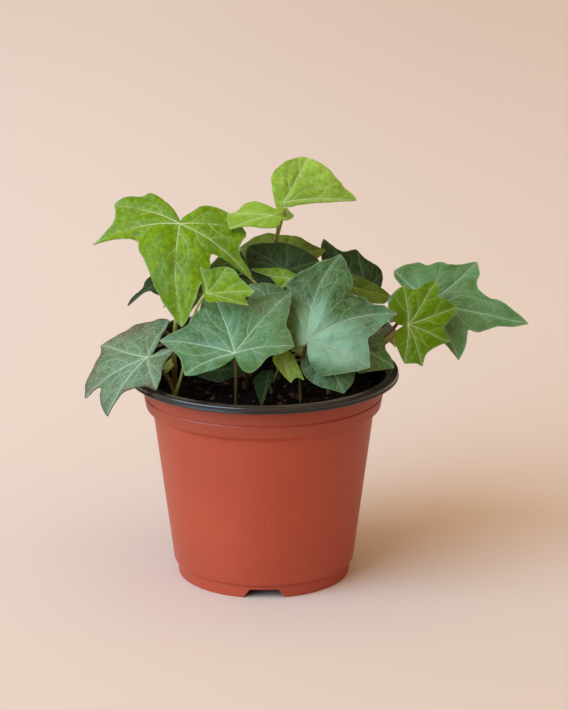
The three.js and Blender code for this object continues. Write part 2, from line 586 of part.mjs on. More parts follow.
function makeSoil() {
  const { wall, plate, body, collar, foot } = POT;
  const inner = (radius) => radius - wall - GAP;
  const wallPoints = [
    [inner(collar.highRadius) - GAP, SOIL.top - 1],
    [inner(collar.lowRadius), collar.low],
    [inner(body.highRadius), body.high],
    [inner(body.lowRadius), body.low + GAP],
    [inner(foot.radius) - GAP, plate.high + GAP],
  ];
  const positions = [0, 0, soilTop(0, 0)];
  const addRing = (radius, height) => {
    for (let i = 0; i < SOIL.sides; i += 1) {
      const turn = (2 * Math.PI * i) / SOIL.sides;
      const x = radius * Math.cos(turn);
      const y = radius * Math.sin(turn);
      positions.push(x, y, height(x, y));
    }
  };
  const rim = wallPoints[0][0];
  SOIL.rings.forEach((share) => addRing(rim * share, soilTop));
  wallPoints.forEach(([radius, z]) => addRing(radius, () => z));
  const ringCount = SOIL.rings.length + wallPoints.length;
  const base = positions.length / 3;
  positions.push(0, 0, plate.high + GAP);
  const at = (ring, i) => 1 + ring * SOIL.sides + (i % SOIL.sides);
  const indices = [];
  for (let i = 0; i < SOIL.sides; i += 1) {
    indices.push(0, at(0, i), at(0, i + 1));
    for (let ring = 1; ring < ringCount; ring += 1) {
      indices.push(at(ring - 1, i), at(ring, i), at(ring, i + 1));
      indices.push(at(ring - 1, i), at(ring, i + 1), at(ring - 1, i + 1));
    }
    indices.push(base, at(ringCount - 1, i + 1), at(ringCount - 1, i));
  }
  const geometry = new THREE.BufferGeometry();
  geometry.setAttribute('position', new THREE.Float32BufferAttribute(positions, 3));
  geometry.setIndex(indices);

  let soil = toSolid(geometry);
  Object.keys(STEMS).forEach((name) => { soil = soil.subtract(stemSleeve(name)); });
  Object.values(LEAVES).filter(({ stalk }) => stalk[0] === 'soil').forEach((leaf) => {
    const hole = sleeve(stalkCurve(leaf), STALK.radius, STALK.sides, STALK.steps);
    soil = soil.subtract(hole);
  });
  return toGeometry(soil);
}

// ---------------------------------------------------------------- scene graph

function finish(color, roughness) {
  return new THREE.MeshStandardMaterial({ color, roughness, metalness: 0 });
}

const plant = new THREE.Group();
plant.position.set(FRAME.x, FRAME.y, 0);

function add(name, geometry, material) {
  const mesh = new THREE.Mesh(geometry, material);
  mesh.name = name;
  plant.add(mesh);
}

add('pot', makePot(), finish(0xac4d37, 0.45));
add('soil', makeSoil(), finish(0x17100c, 1));

const bark = finish(0x5a4a2c, 0.7);
Object.keys(STEMS).forEach((name) => add(name, makeStem(name), bark));

Object.entries(LEAVES).forEach(([name, leaf]) => {
  add(name, makeLeaf(leaf), finish(GREEN[leaf.colour], 0.4));
});

export default plant;
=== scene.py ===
"""Potted ivy: a young ivy in a two-colour grower's pot, dressed around its fixed frame.

Sizes are written in millimetres and places are measured from the pot's own axis on the ground.
Every mesh is built in metres, at its own place in the frame.
"""

import bisect
import logging
import math
import random
from dataclasses import dataclass, field
from enum import Enum
from functools import cache

import bmesh
import bpy
from mathutils import Matrix, Vector, kdtree, noise


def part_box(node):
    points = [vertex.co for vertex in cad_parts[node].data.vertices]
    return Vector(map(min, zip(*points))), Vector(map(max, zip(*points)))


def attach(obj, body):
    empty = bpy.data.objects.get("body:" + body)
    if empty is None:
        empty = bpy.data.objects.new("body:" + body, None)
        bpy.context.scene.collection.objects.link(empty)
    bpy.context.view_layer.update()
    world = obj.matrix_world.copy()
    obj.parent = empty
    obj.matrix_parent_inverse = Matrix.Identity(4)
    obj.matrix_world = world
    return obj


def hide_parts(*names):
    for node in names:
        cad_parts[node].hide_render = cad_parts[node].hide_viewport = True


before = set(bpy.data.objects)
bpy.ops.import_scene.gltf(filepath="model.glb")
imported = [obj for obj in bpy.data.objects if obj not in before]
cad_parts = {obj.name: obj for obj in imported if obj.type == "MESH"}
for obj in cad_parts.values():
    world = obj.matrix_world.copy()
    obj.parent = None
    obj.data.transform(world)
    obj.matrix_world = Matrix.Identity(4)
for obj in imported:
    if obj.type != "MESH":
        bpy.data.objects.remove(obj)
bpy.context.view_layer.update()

logging.basicConfig(level=logging.INFO, format="%(name)s: %(message)s")
LOG = logging.getLogger("potted_ivy")

MM = 0.001
BODY = "root"

Point = tuple[float, float, float]
Colour = tuple[float, float, float, float]
Edge = tuple[tuple[float, ...], ...]
Pair = tuple[float, float]
Socket = bpy.types.NodeSocket
Outputs = bpy.types.NodeOutputs
Material = bpy.types.Material
BMesh = bmesh.types.BMesh


def pot_axis() -> Vector:
    """Where the pot's axis meets the ground, from the frame."""
    low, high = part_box("pot")
    return Vector(((low.x + high.x) / 2, (low.y + high.y) / 2, 0))


AXIS = pot_axis()


def place(x: float, y: float, z: float) -> Vector:
    """A point given in millimetres right of, behind and above the pot's middle, in the frame's metres."""
    return AXIS + Vector((x, y, z)) * MM


def srgb(red: int, green: int, blue: int) -> Colour:
    """A colour as a paint chart gives it, as the linear colour that a shader takes.

    Args:
        red: Red from 0 to 255.
        green: Green from 0 to 255.
        blue: Blue from 0 to 255.

    Returns:
        The linear colour, with full alpha.
    """
    def linear(value: int) -> float:
        """One channel, made linear."""
        share = value / 255
        return share / 12.92 if share <= 0.04045 else ((share + 0.055) / 1.055) ** 2.4

    return (linear(red), linear(green), linear(blue), 1.0)


def smooth_step(value: float, low: float, high: float) -> float:
    """A smooth rise from 0 where the value is low to 1 where it is high."""
    share = min(1.0, max(0.0, (value - low) / (high - low)))
    return share * share * (3 - 2 * share)


# ---------------------------------------------------------------- shader helpers


class Wiring:
    """A node tree being wired: it makes nodes, sets their sockets and joins them."""

    def __init__(self, tree: bpy.types.NodeTree) -> None:
        """Starts on a tree."""
        self.tree = tree

    def node(self, kind: str, inputs: dict | None = None, **settings: object) -> bpy.types.Node:
        """Adds a node.

        Args:
            kind: The node's type name, without its ShaderNode start.
            inputs: Values or sockets for its inputs, by name or number.
            settings: The node's own settings.

        Returns:
            The new node.
        """
        made = self.tree.nodes.new("ShaderNode" + kind)
        for name, value in settings.items():
            setattr(made, name, value)
        for name, value in (inputs or {}).items():
            self.feed(made.inputs[name], value)
        return made

    def feed(self, socket: Socket, value: object) -> None:
        """Gives an input socket its value.

        Args:
            socket: The input socket.
            value: A plain value, or the output socket that it is joined to.
        """
        if isinstance(value, Socket):
            self.tree.links.new(value, socket)
        else:
            socket.default_value = value

    def sum(self, kind: str, *terms: object) -> Socket:
        """One arithmetic step, named as a Math node names it."""
        return self.node("Math", dict(enumerate(terms)), operation=kind).outputs[0]

    def times(self, *terms: object) -> Socket:
        """The product of two values."""
        return self.sum("MULTIPLY", *terms)

    def rise(self, value: object, low: object, high: object,
             start: float = 0.0, end: float = 1.0) -> Socket:
        """A smooth ramp of a value, from start where it is low to end where it is high."""
        inputs = {0: value, 1: low, 2: high, 3: start, 4: end}
        return self.node("MapRange", inputs, interpolation_type="SMOOTHSTEP").outputs[0]

    def blend(self, share: object, first: object, second: object, kind: str = "MIX") -> Socket:
        """Mixes two colours.

        Args:
            share: How much of the second.
            first: The first colour.
            second: The second colour.
            kind: How they mix.

        Returns:
            The mixed colour's socket.
        """
        made = self.node("Mix", data_type="RGBA", blend_type=kind)
        self.feed(made.inputs[0], share)
        self.feed(made.inputs[6], first)
        self.feed(made.inputs[7], second)
        return made.outputs[2]

    def stain(self, colour: object, mask: object, share: object, stain: Colour) -> Socket:
        """Lays a stain over a colour where a mask shows, at a share of its strength."""
        return self.blend(self.times(mask, share), colour, stain)

    def here(self) -> Socket:
        """The piece's own coordinates."""
        return self.node("TexCoord").outputs["Object"]

    def apart(self) -> Outputs:
        """The piece's own coordinates, one by one."""
        return self.node("SeparateXYZ", {0: self.here()}).outputs

    def layer(self, name: str) -> Socket:
        """The value that the mesh holds under a name."""
        return self.node("Attribute", attribute_name=name).outputs["Fac"]

    def grain(self, scale: object, detail: float = 3.0) -> Outputs:
        """A cloud of noise with so many waves in a metre, as a value and as a colour."""
        return self.node("TexNoise", {"Vector": self.here(), "Scale": scale, "Detail": detail}).outputs


class Effect:
    """A shader node group that several finishes share."""

    def __init__(self, name: str, inputs: dict[str, float], outputs: tuple[str, ...]) -> None:
        """Makes the empty group.

        Args:
            name: The group's name.
            inputs: Each input's name and first value.
            outputs: The names of its outputs, each a value.
        """
        self.tree = bpy.data.node_groups.new(name, "ShaderNodeTree")
        for label, value in inputs.items():
            socket = self.tree.interface.new_socket(label, in_out="INPUT", socket_type="NodeSocketFloat")
            socket.default_value = value
        for label in outputs:
            self.tree.interface.new_socket(label, in_out="OUTPUT", socket_type="NodeSocketFloat")
        self.wiring = Wiring(self.tree)
        self.given = self.tree.nodes.new("NodeGroupInput").outputs
        self.result = self.tree.nodes.new("NodeGroupOutput").inputs

    def give(self, **masks: Socket) -> "Effect":
        """Joins what the group puts out.

        Args:
            masks: The socket for each output.

        Returns:
            The finished group.
        """
        for label, mask in masks.items():
            self.wiring.feed(self.result[label], mask)
        return self

    def use(self, wiring: Wiring, **values: object) -> Outputs:
        """Places the group in a material, with a value or a socket for each input that is set."""
        return wiring.node("Group", values, node_tree=self.tree).outputs


@cache
def blade_skin() -> Effect:
    """The skin between a blade's veins: a fine pale net, and how near the veins and the margin are.

    Returns:
        A group with the net, the band beside the veins, the margin line, patches near the margin and
        the painted sheen of the middle, a pale haze that stands in for the light's reflection.
    """
    effect = Effect("blade skin", {"Net": 1.3}, ("Net", "Vein", "Margin", "Patch", "Bloom"))
    w = effect.wiring
    reach = w.layer("reach")
    shift = w.node("VectorMath", {0: w.grain(420.0, 2.0)["Color"], 1: (0.5, 0.5, 0.5)}, operation="SUBTRACT")
    shift = w.node("VectorMath", {0: shift.outputs[0], "Scale": 1.6 * MM}, operation="SCALE")
    where = w.node("VectorMath", {0: w.here(), 1: shift.outputs[0]}, operation="ADD")
    apart = w.sum("DIVIDE", 1000.0, effect.given["Net"])
    cells = w.node("TexVoronoi", {"Vector": where.outputs[0], "Scale": apart}, feature="DISTANCE_TO_EDGE")
    return effect.give(
        Net=w.rise(cells.outputs[0], 0.0, 0.14, 1.0, 0.0),
        Vein=w.layer("vein"),
        Margin=w.rise(reach, 0.96, 0.995),
        Patch=w.times(w.rise(w.grain(110.0)[0], 0.46, 0.62), w.rise(reach, 0.45, 0.95)),
        # Painted sheen: a pale haze, strongest in the middle, that stands in for the light's reflection on
        # the wax.
        Bloom=w.times(w.rise(w.grain(48.0)[0], 0.22, 0.5), w.rise(reach, 0.6, 1.0, 1.0, 0.45)),
    )


@cache
def mottling() -> Effect:
    """Two sizes of soft blotches in one value, for anything that isn't one even colour.

    Returns:
        A group with one value from 0 to 1.
    """
    effect = Effect("mottling", {"Broad": 60.0, "Fine": 700.0, "Share": 0.4}, ("Value",))
    w, given = effect.wiring, effect.given
    fine = w.times(w.grain(given["Fine"])[0], given["Share"])
    broad = w.times(w.grain(given["Broad"])[0], w.sum("SUBTRACT", 1.0, given["Share"]))
    return effect.give(Value=w.rise(w.sum("ADD", fine, broad), 0.32, 0.68))


@cache
def specks() -> Effect:
    """Scattered small specks of dust and dirt.

    Returns:
        A group with one mask.
    """
    effect = Effect("specks", {"Scale": 600.0, "Amount": 0.1}, ("Mask",))
    w, given = effect.wiring, effect.given
    cells = w.node("TexVoronoi", {"Vector": w.here(), "Scale": given["Scale"]}).outputs
    pick = w.node("SeparateXYZ", {0: cells["Color"]}).outputs[0]
    dot = w.rise(cells["Distance"], 0.12, 0.3, 1.0, 0.0)
    return effect.give(Mask=w.times(dot, w.sum("LESS_THAN", pick, given["Amount"])))


class Coat(Wiring):
    """A material being made: one Principled shader, with the steps that every finish takes."""

    def __init__(self, name: str, broad: float = 0.0, fine: float = 0.0, share: float = 0.5) -> None:
        """Starts an empty material.

        Args:
            name: The material's name.
            broad: Its broad blotches in a metre, or 0 where it has one even tone.
            fine: Its fine blotches in a metre.
            share: The fine blotches' share of its tone.
        """
        self.material = bpy.data.materials.new(name)
        self.material.use_nodes = True
        super().__init__(self.material.node_tree)
        self.shader = self.tree.nodes["Principled BSDF"].inputs
        self.tone = mottling().use(self, Broad=broad, Fine=fine, Share=share)["Value"] if broad else 0.0

    def specks(self, scale: float, amount: float) -> Socket:
        """A mask of specks: how many in a metre, and which share of them shows."""
        return specks().use(self, Scale=scale, Amount=amount)["Mask"]

    def finish(self, colour: object, rough: Pair, relief: object | None = None,
               strength: float = 0.0, depth: float = 0.0, specular: float = 0.5) -> Material:
        """Sets the shader.

        Args:
            colour: The colour.
            rough: The roughness where the tone is 0 and where it is 1.
            relief: The height of the surface's small relief, if it has one.
            strength: How strongly the relief shows.
            depth: The relief's depth in millimetres.
            specular: The specular level.

        Returns:
            The finished material.
        """
        self.feed(self.shader["Base Color"], colour)
        self.feed(self.shader["Roughness"], self.rise(self.tone, 0.0, 1.0, *rough))
        self.shader["Specular IOR Level"].default_value = specular
        if relief is not None:
            bump = self.node("Bump", {"Height": relief, "Strength": strength, "Distance": depth * MM})
            self.feed(self.shader["Normal"], bump.outputs[0])
        return self.material


# ---------------------------------------------------------------- finishes


@dataclass(frozen=True)
class LeafFinish:
    """The look of one age and tone of leaf."""

    name: str
    slot: str
    deep: Colour
    light: Colour
    vein: Colour
    under: Colour
    stalk: Colour
    patch: Colour = srgb(120, 96, 70)
    patches: float = 0.0
    # Painted sheen: a pale bluish haze laid over the green, standing in for the light's reflection.
    painted_sheen: Colour = srgb(134, 180, 146)
    specular: float = 0.5
    roughness: float = 0.42
    uneven: float = 0.06
    net: float = 0.3
    band: float = 0.3
    margin: Colour = srgb(190, 208, 164)
    margin_share: float = 0.14

    def upper_side(self) -> Material:
        """The waxy upper face: blotched, netted, paler by the veins and along the margin, with a painted
        sheen.

        Returns:
            The material.
        """
        w = Coat(self.name, broad=70.0, fine=560.0)
        skin = blade_skin().use(w)
        colour = w.blend(w.rise(w.sum("ADD", w.tone, w.layer("tone")), -0.25, 1.25), self.deep, self.light)
        # The first stain is painted sheen: a pale bluish haze for the light's reflection on the leaf.
        for mask, share, stain in (
            ("Bloom", w.layer("painted_sheen"), self.painted_sheen), ("Patch", self.patches, self.patch),
            ("Net", self.net, self.vein), ("Vein", self.band, self.vein),
            ("Margin", self.margin_share, self.margin),
        ):
            colour = w.stain(colour, skin[mask], share, stain)
        relief = w.sum("ADD", w.times(skin["Net"], -0.5), w.times(w.tone, 0.8))
        rough = (self.roughness - self.uneven, self.roughness + self.uneven)
        return w.finish(colour, rough, relief, strength=0.35, depth=0.22, specular=self.specular)

    def under_side(self) -> Material:
        """The matt, paler under face.

        Returns:
            The material.
        """
        w = Coat(self.name + " underside", broad=90.0, fine=800.0)
        skin = blade_skin().use(w)
        raised = w.rise(skin["Vein"], 0.35, 1.0)
        colour = w.stain(self.under, w.tone, 0.35, self.light)
        colour = w.stain(colour, skin["Net"], 0.25, self.vein)
        colour = w.stain(colour, raised, 0.75, self.vein)
        return w.finish(colour, rough=(0.55, 0.68), relief=raised, strength=0.6, depth=0.5)

    def vein_skin(self) -> Material:
        """The raised veins, fading into the green where they thin out.

        Returns:
            The material.
        """
        w = Coat(self.name + " veins", broad=200.0, fine=1200.0)
        faded = w.sum("ADD", w.rise(w.layer("reach"), 0.0, 1.0, 0.12, 0.74), w.times(w.tone, 0.12))
        return w.finish(w.blend(faded, self.vein, self.light), rough=(0.42, 0.55))

    def stalk_skin(self) -> Material:
        """The stalk's skin, blotched with the underside's green.

        Returns:
            The material.
        """
        w = Coat(self.name + " stalk", broad=130.0, fine=1500.0)
        colour = w.stain(self.stalk, w.tone, 0.4, self.under)
        return w.finish(colour, rough=(0.38, 0.55), relief=w.tone, strength=0.3, depth=0.15)

    def dress(self) -> list[Material]:
        """The upper side, underside, stalk and veins, in the order that a leaf's faces use."""
        return [self.upper_side(), self.under_side(), self.stalk_skin(), self.vein_skin()]


class LeafTone(Enum):
    """The tones of leaf on the plant."""

    DARK = LeafFinish(
        "mature leaf", "leaf_dark", deep=srgb(35, 74, 18), light=srgb(66, 109, 36),
        vein=srgb(186, 210, 176), under=srgb(96, 126, 60), stalk=srgb(108, 76, 38),
        patches=0.1, specular=0.26, net=0.12, band=0.14,
    )
    BRIGHT = LeafFinish(
        "bright leaf", "leaf_bright", deep=srgb(80, 110, 0), light=srgb(122, 151, 4),
        vein=srgb(204, 212, 148), under=srgb(120, 144, 30), stalk=srgb(172, 164, 84),
        roughness=0.24, specular=0.1, net=0.02, band=0.1,
    )
    YOUNG = LeafFinish(
        "young leaf", "leaf_young", deep=srgb(120, 156, 22), light=srgb(158, 194, 66),
        vein=srgb(214, 226, 170), under=srgb(136, 160, 40), stalk=srgb(156, 148, 54),
        roughness=0.26, specular=0.42, net=0.04, band=0.12,
    )
    GREY = LeafFinish(
        "grey-green leaf", "leaf_grey", deep=srgb(52, 78, 34), light=srgb(82, 106, 60),
        vein=srgb(188, 204, 170), under=srgb(116, 132, 78), stalk=srgb(120, 96, 44),
        patch=srgb(96, 72, 54), patches=0.6, specular=0.24, roughness=0.46, net=0.2, band=0.2,
        margin=srgb(84, 56, 48), margin_share=0.5,
    )
    # Painted shade: this tone darkens the leaf colours for leaves that sit in the shade of others.
    SHADE = LeafFinish(
        "shaded leaf", "leaf_shade", deep=srgb(22, 38, 10), light=srgb(44, 62, 24),
        vein=srgb(98, 116, 62), under=srgb(70, 82, 36), stalk=srgb(70, 52, 24),
        patch=srgb(44, 32, 20), patches=0.2, specular=0.06, roughness=0.55, net=0.12, band=0.16,
    )
    OLIVE = LeafFinish(
        "olive leaf", "leaf_shade", deep=srgb(68, 86, 2), light=srgb(100, 120, 8),
        vein=srgb(140, 150, 60), under=srgb(94, 104, 28), stalk=srgb(100, 78, 28),
        patch=srgb(84, 62, 10), patches=0.2, specular=0.15, roughness=0.4, net=0.06, band=0.12,
    )


@dataclass(frozen=True)
class PotFinish:
    """The pot's two plastics: coloured outside, black inside and over the lip.

    The collar's colour is painted shade: the outside darkens towards it from the shade's start height to its
    end height, in millimetres up, under the lip's overhang and the leaves.
    """

    outside: Colour = srgb(181, 70, 39)
    outside_dull: Colour = srgb(171, 64, 35)
    # Painted shade on the collar, under the lip's overhang and the leaves.
    collar: Colour = srgb(161, 61, 34)
    dust: Colour = srgb(176, 130, 108)
    inside: Colour = srgb(9, 8, 9)
    inside_worn: Colour = srgb(19, 16, 17)
    collar_shade_start: float = 76.8
    collar_shade_end: float = 78.2
    collar_shade_share: float = 0.85

    def shell(self) -> Material:
        """The satin outside, with faint flow marks, a few specks and painted shade on the collar.

        Returns:
            The material.
        """
        w = Coat("pot outside", broad=22.0, fine=900.0, share=0.35)
        # Painted shade: the outside darkens on the collar, under the lip and the leaves.
        step = w.rise(w.apart()[2], self.collar_shade_start * MM, self.collar_shade_end * MM, 0.0, self.collar_shade_share)
        colour = w.blend(step, w.blend(w.tone, self.outside_dull, self.outside), self.collar)
        colour = w.stain(colour, w.specks(scale=330.0, amount=0.035), 0.25, self.dust)
        relief = w.sum("ADD", w.times(w.grain(2600.0, 2.0)[0], 0.4), w.tone)
        return w.finish(colour, rough=(0.42, 0.52), relief=relief, strength=0.12, depth=0.12)

    def lining(self) -> Material:
        """The black lining and lip, rubbed paler in places.

        Returns:
            The material.
        """
        w = Coat("pot lining", broad=55.0, fine=1400.0)
        colour = w.stain(self.inside, w.tone, 0.6, self.inside_worn)
        colour = w.stain(colour, w.specks(scale=520.0, amount=0.05), 0.12, self.dust)
        return w.finish(colour, rough=(0.13, 0.2), relief=w.tone, strength=0.08, depth=0.15, specular=0.75)


@dataclass(frozen=True)
class SoilFinish:
    """Moist peat soil: near black, darkened further as painted shade under the leaves, with brown fibres and
    crumbs.
    """

    # Both soil tones are darker than the peat itself: painted shade for soil that lies under the leaves.
    wet_and_shaded: Colour = srgb(9, 6, 5)
    dry_and_shaded: Colour = srgb(28, 17, 11)
    fibre: Colour = srgb(112, 74, 50)

    def ground(self) -> Material:
        """The packed soil between the crumbs.

        Returns:
            The material.
        """
        w = Coat("potting soil", broad=160.0, fine=1100.0, share=0.6)
        colour = w.stain(self.wet_and_shaded, w.tone, 0.5, self.dry_and_shaded)
        colour = w.stain(colour, w.specks(scale=700.0, amount=0.12), 0.4, self.fibre)
        return w.finish(colour, rough=(0.8, 0.95), relief=w.tone, strength=0.8, depth=0.5, specular=0.1)

    def crumb(self) -> Material:
        """The loose crumbs and fibres, each with a tone of its own.

        Returns:
            The material.
        """
        w = Coat("soil crumbs", broad=400.0, fine=1800.0)
        own = w.layer("tone")
        colour = w.blend(w.rise(own, 0.0, 0.75), self.wet_and_shaded, self.dry_and_shaded)
        colour = w.blend(w.rise(own, 0.8, 1.0), colour, self.fibre)
        colour = w.stain(colour, w.tone, 0.4, self.wet_and_shaded)
        return w.finish(colour, rough=(0.75, 0.9), relief=w.tone, strength=0.6, depth=0.2, specular=0.15)


@dataclass(frozen=True)
class BarkFinish:
    """Stem bark: brown at the foot, green towards the growing end."""

    foot: Colour = srgb(108, 90, 36)
    end: Colour = srgb(172, 174, 66)
    pore: Colour = srgb(150, 130, 92)
    woody_height: float = 92.0
    green_height: float = 114.0

    def bark(self) -> Material:
        """The stem's skin.

        Returns:
            The material.
        """
        w = Coat("stem bark", broad=160.0, fine=1300.0)
        green = w.rise(w.apart()[2], self.woody_height * MM, self.green_height * MM)
        colour = w.stain(w.blend(green, self.foot, self.end), w.tone, 0.35, self.foot)
        colour = w.stain(colour, w.specks(scale=900.0, amount=0.15), 0.4, self.pore)
        return w.finish(colour, rough=(0.45, 0.65), relief=w.tone, strength=0.5, depth=0.3)


# ---------------------------------------------------------------- mesh helpers


def put(name: str, data: bpy.types.ID) -> bpy.types.Object:
    """Adds an object to the scene.

    Args:
        name: The object's name.
        data: Its mesh, camera or lamp.

    Returns:
        The new object.
    """
    made = bpy.data.objects.new(name, data)
    bpy.context.scene.collection.objects.link(made)
    return made


def as_mesh(name: str, bm: BMesh) -> bpy.types.Mesh:
    """Turns a bmesh into a mesh.

    Args:
        name: The mesh's name.
        bm: The bmesh, which is freed.

    Returns:
        The new mesh.
    """
    mesh = bpy.data.meshes.new(name)
    bm.to_mesh(mesh)
    bm.free()
    return mesh


def merge(bm: BMesh, part: BMesh) -> None:
    """Adds a part to a mesh.

    Args:
        bm: The mesh that grows.
        part: The part, which is freed.
    """
    mesh = as_mesh("part", part)
    bm.from_mesh(mesh)
    bpy.data.meshes.remove(mesh)


def make_piece(name: str, bm: BMesh, materials: list[Material],
               replaced: tuple[str, ...], sharp_from: float = 60.0) -> bpy.types.Object:
    """Turns a finished bmesh into a piece of the object that rides on its body.

    Args:
        name: The piece's name.
        bm: The mesh, in metres in the frame, which is freed.
        materials: Its materials, in the order that its faces use.
        replaced: The frame's nodes that it stands for.
        sharp_from: The angle in degrees from which an edge is sharp.

    Returns:
        The new object.
    """
    mesh = as_mesh(name, bm)
    for material in materials:
        mesh.materials.append(material)
    mesh.shade_smooth()
    mesh.set_sharp_from_angle(angle=math.radians(sharp_from))
    piece = put(name, mesh)
    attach(piece, BODY)
    if replaced:
        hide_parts(*replaced)
    LOG.info("%s: %d faces", name, len(mesh.polygons))
    return piece


def verts_in(items: list) -> list[bmesh.types.BMVert]:
    """The vertices among what an operator made."""
    return [item for item in items if isinstance(item, bmesh.types.BMVert)]


def faces_at(verts: list[bmesh.types.BMVert]) -> list[bmesh.types.BMFace]:
    """The faces that touch some vertices."""
    return list({face for vert in verts for face in vert.link_faces})


@dataclass
class Tube:
    """A round tube along a path: its centre line and its radius at each point, in metres."""

    path: list[Vector]
    radii: list[float]

    def rings(self) -> list[Matrix]:
        """The placing of a unit circle at each point of the path, never twisting.

        Returns:
            A matrix for each point.
        """
        turns = []
        last = (self.path[1] - self.path[0]).normalized()
        turn = last.to_track_quat("Z", "Y")
        for i, (point, radius) in enumerate(zip(self.path, self.radii)):
            ahead = (self.path[min(i + 1, len(self.path) - 1)] - self.path[max(i - 1, 0)]).normalized()
            turn = last.rotation_difference(ahead) @ turn
            last = ahead
            turns.append(Matrix.Translation(point) @ turn.to_matrix().to_4x4() @ Matrix.Scale(radius, 4))
        return turns


def sweep(bm: BMesh, tubes: list[Tube], sides: int, material: int,
          shades: list[Pair] | None = None) -> None:
    """Draws tubes by extruding a ring along each of them, all in step.

    Args:
        bm: The mesh that they are added to.
        tubes: The tubes.
        sides: How many sides each has.
        material: The material number of their faces.
        shades: How faint each is at its start and at its end.
    """
    part = blade_mesh()
    number = part.verts.layers.int.new("number")
    faint = part.verts.layers.float["reach"]
    rings = [tube.rings() for tube in tubes]
    edges = []
    for i, turns in enumerate(rings):
        made = bmesh.ops.create_circle(part, cap_ends=True, segments=sides, radius=1.0, matrix=turns[0])
        for vert in made["verts"]:
            vert[number] = i
            vert[faint] = shades[i][0] if shades else 0.0
        edges += list({edge for vert in made["verts"] for edge in vert.link_edges})
    for k in range(1, max(len(turns) for turns in rings)):
        edges = [edge for edge in edges if len(rings[edge.verts[0][number]]) > k]
        step = bmesh.ops.extrude_edge_only(part, edges=edges)["geom"]
        fresh = set(verts_in(step))
        moves = {i: turns[k] @ turns[k - 1].inverted() for i, turns in enumerate(rings) if len(turns) > k}
        for vert in fresh:
            i = vert[number]
            vert.co = moves[i] @ vert.co
            if shades:
                start, end = shades[i]
                vert[faint] = start + (end - start) * k / (len(rings[i]) - 1)
        edges = [item for item in step
                 if isinstance(item, bmesh.types.BMEdge) and fresh.issuperset(item.verts)]
    bmesh.ops.holes_fill(part, edges=[edge for edge in part.edges if edge.is_boundary], sides=sides)
    bmesh.ops.recalc_face_normals(part, faces=part.faces[:])
    for face in part.faces:
        face.material_index = material
    part.verts.layers.int.remove(number)
    merge(bm, part)


# The last layer holds each vertex's share of the painted sheen.
BLADE_LAYERS = ("vein", "reach", "tone", "painted_sheen")


def blade_mesh() -> BMesh:
    """Starts a mesh that keeps the values that a blade writes.

    Returns:
        The empty mesh.
    """
    bm = bmesh.new()
    for name in BLADE_LAYERS:
        bm.verts.layers.float.new(name)
    return bm


ROUND_STEPS = 5
MOST_CUT = 0.48


def rounded(corners: list[tuple[float, float, float]], closed: bool = False) -> list[Vector]:
    """Rounds the corners of a flat outline.

    Args:
        corners: Each corner's two coordinates and the radius that it is rounded to.
        closed: Whether the last corner joins the first.

    Returns:
        The outline's points.
    """
    points = []
    count = len(corners)
    for i, (x, y, radius) in enumerate(corners):
        here = Vector((x, y))
        if radius == 0 or (not closed and i in (0, count - 1)):
            points.append(here)
            continue
        before, after = Vector(corners[i - 1][:2]) - here, Vector(corners[(i + 1) % count][:2]) - here
        half = before.angle(after) / 2
        cut = min(radius / math.tan(half), before.length * MOST_CUT, after.length * MOST_CUT)
        start, end = here + before.normalized() * cut, here + after.normalized() * cut
        for k in range(ROUND_STEPS + 1):
            share = k / ROUND_STEPS
            points.append(start.lerp(here, share).lerp(here.lerp(end, share), share))
    return points


SAME_PLACE = 0.002 * MM


def spun(profile: list[Vector], steps: int) -> BMesh:
    """A solid of revolution about the pot's axis.

    Args:
        profile: Points of radius and height in millimetres, from the axis round to the axis.
        steps: How many steps go round.

    Returns:
        The closed mesh.
    """
    bm = bmesh.new()
    verts = [bm.verts.new(place(point.x, 0, point.y)) for point in profile]
    edges = [bm.edges.new(pair) for pair in zip(verts, verts[1:])]
    bmesh.ops.spin(bm, geom=verts + edges, cent=AXIS, axis=(0, 0, 1), angle=2 * math.pi,
                   steps=steps, use_merge=True)
    bmesh.ops.remove_doubles(bm, verts=bm.verts[:], dist=SAME_PLACE)
    bmesh.ops.recalc_face_normals(bm, faces=bm.faces[:])
    return bm


# ---------------------------------------------------------------- pot


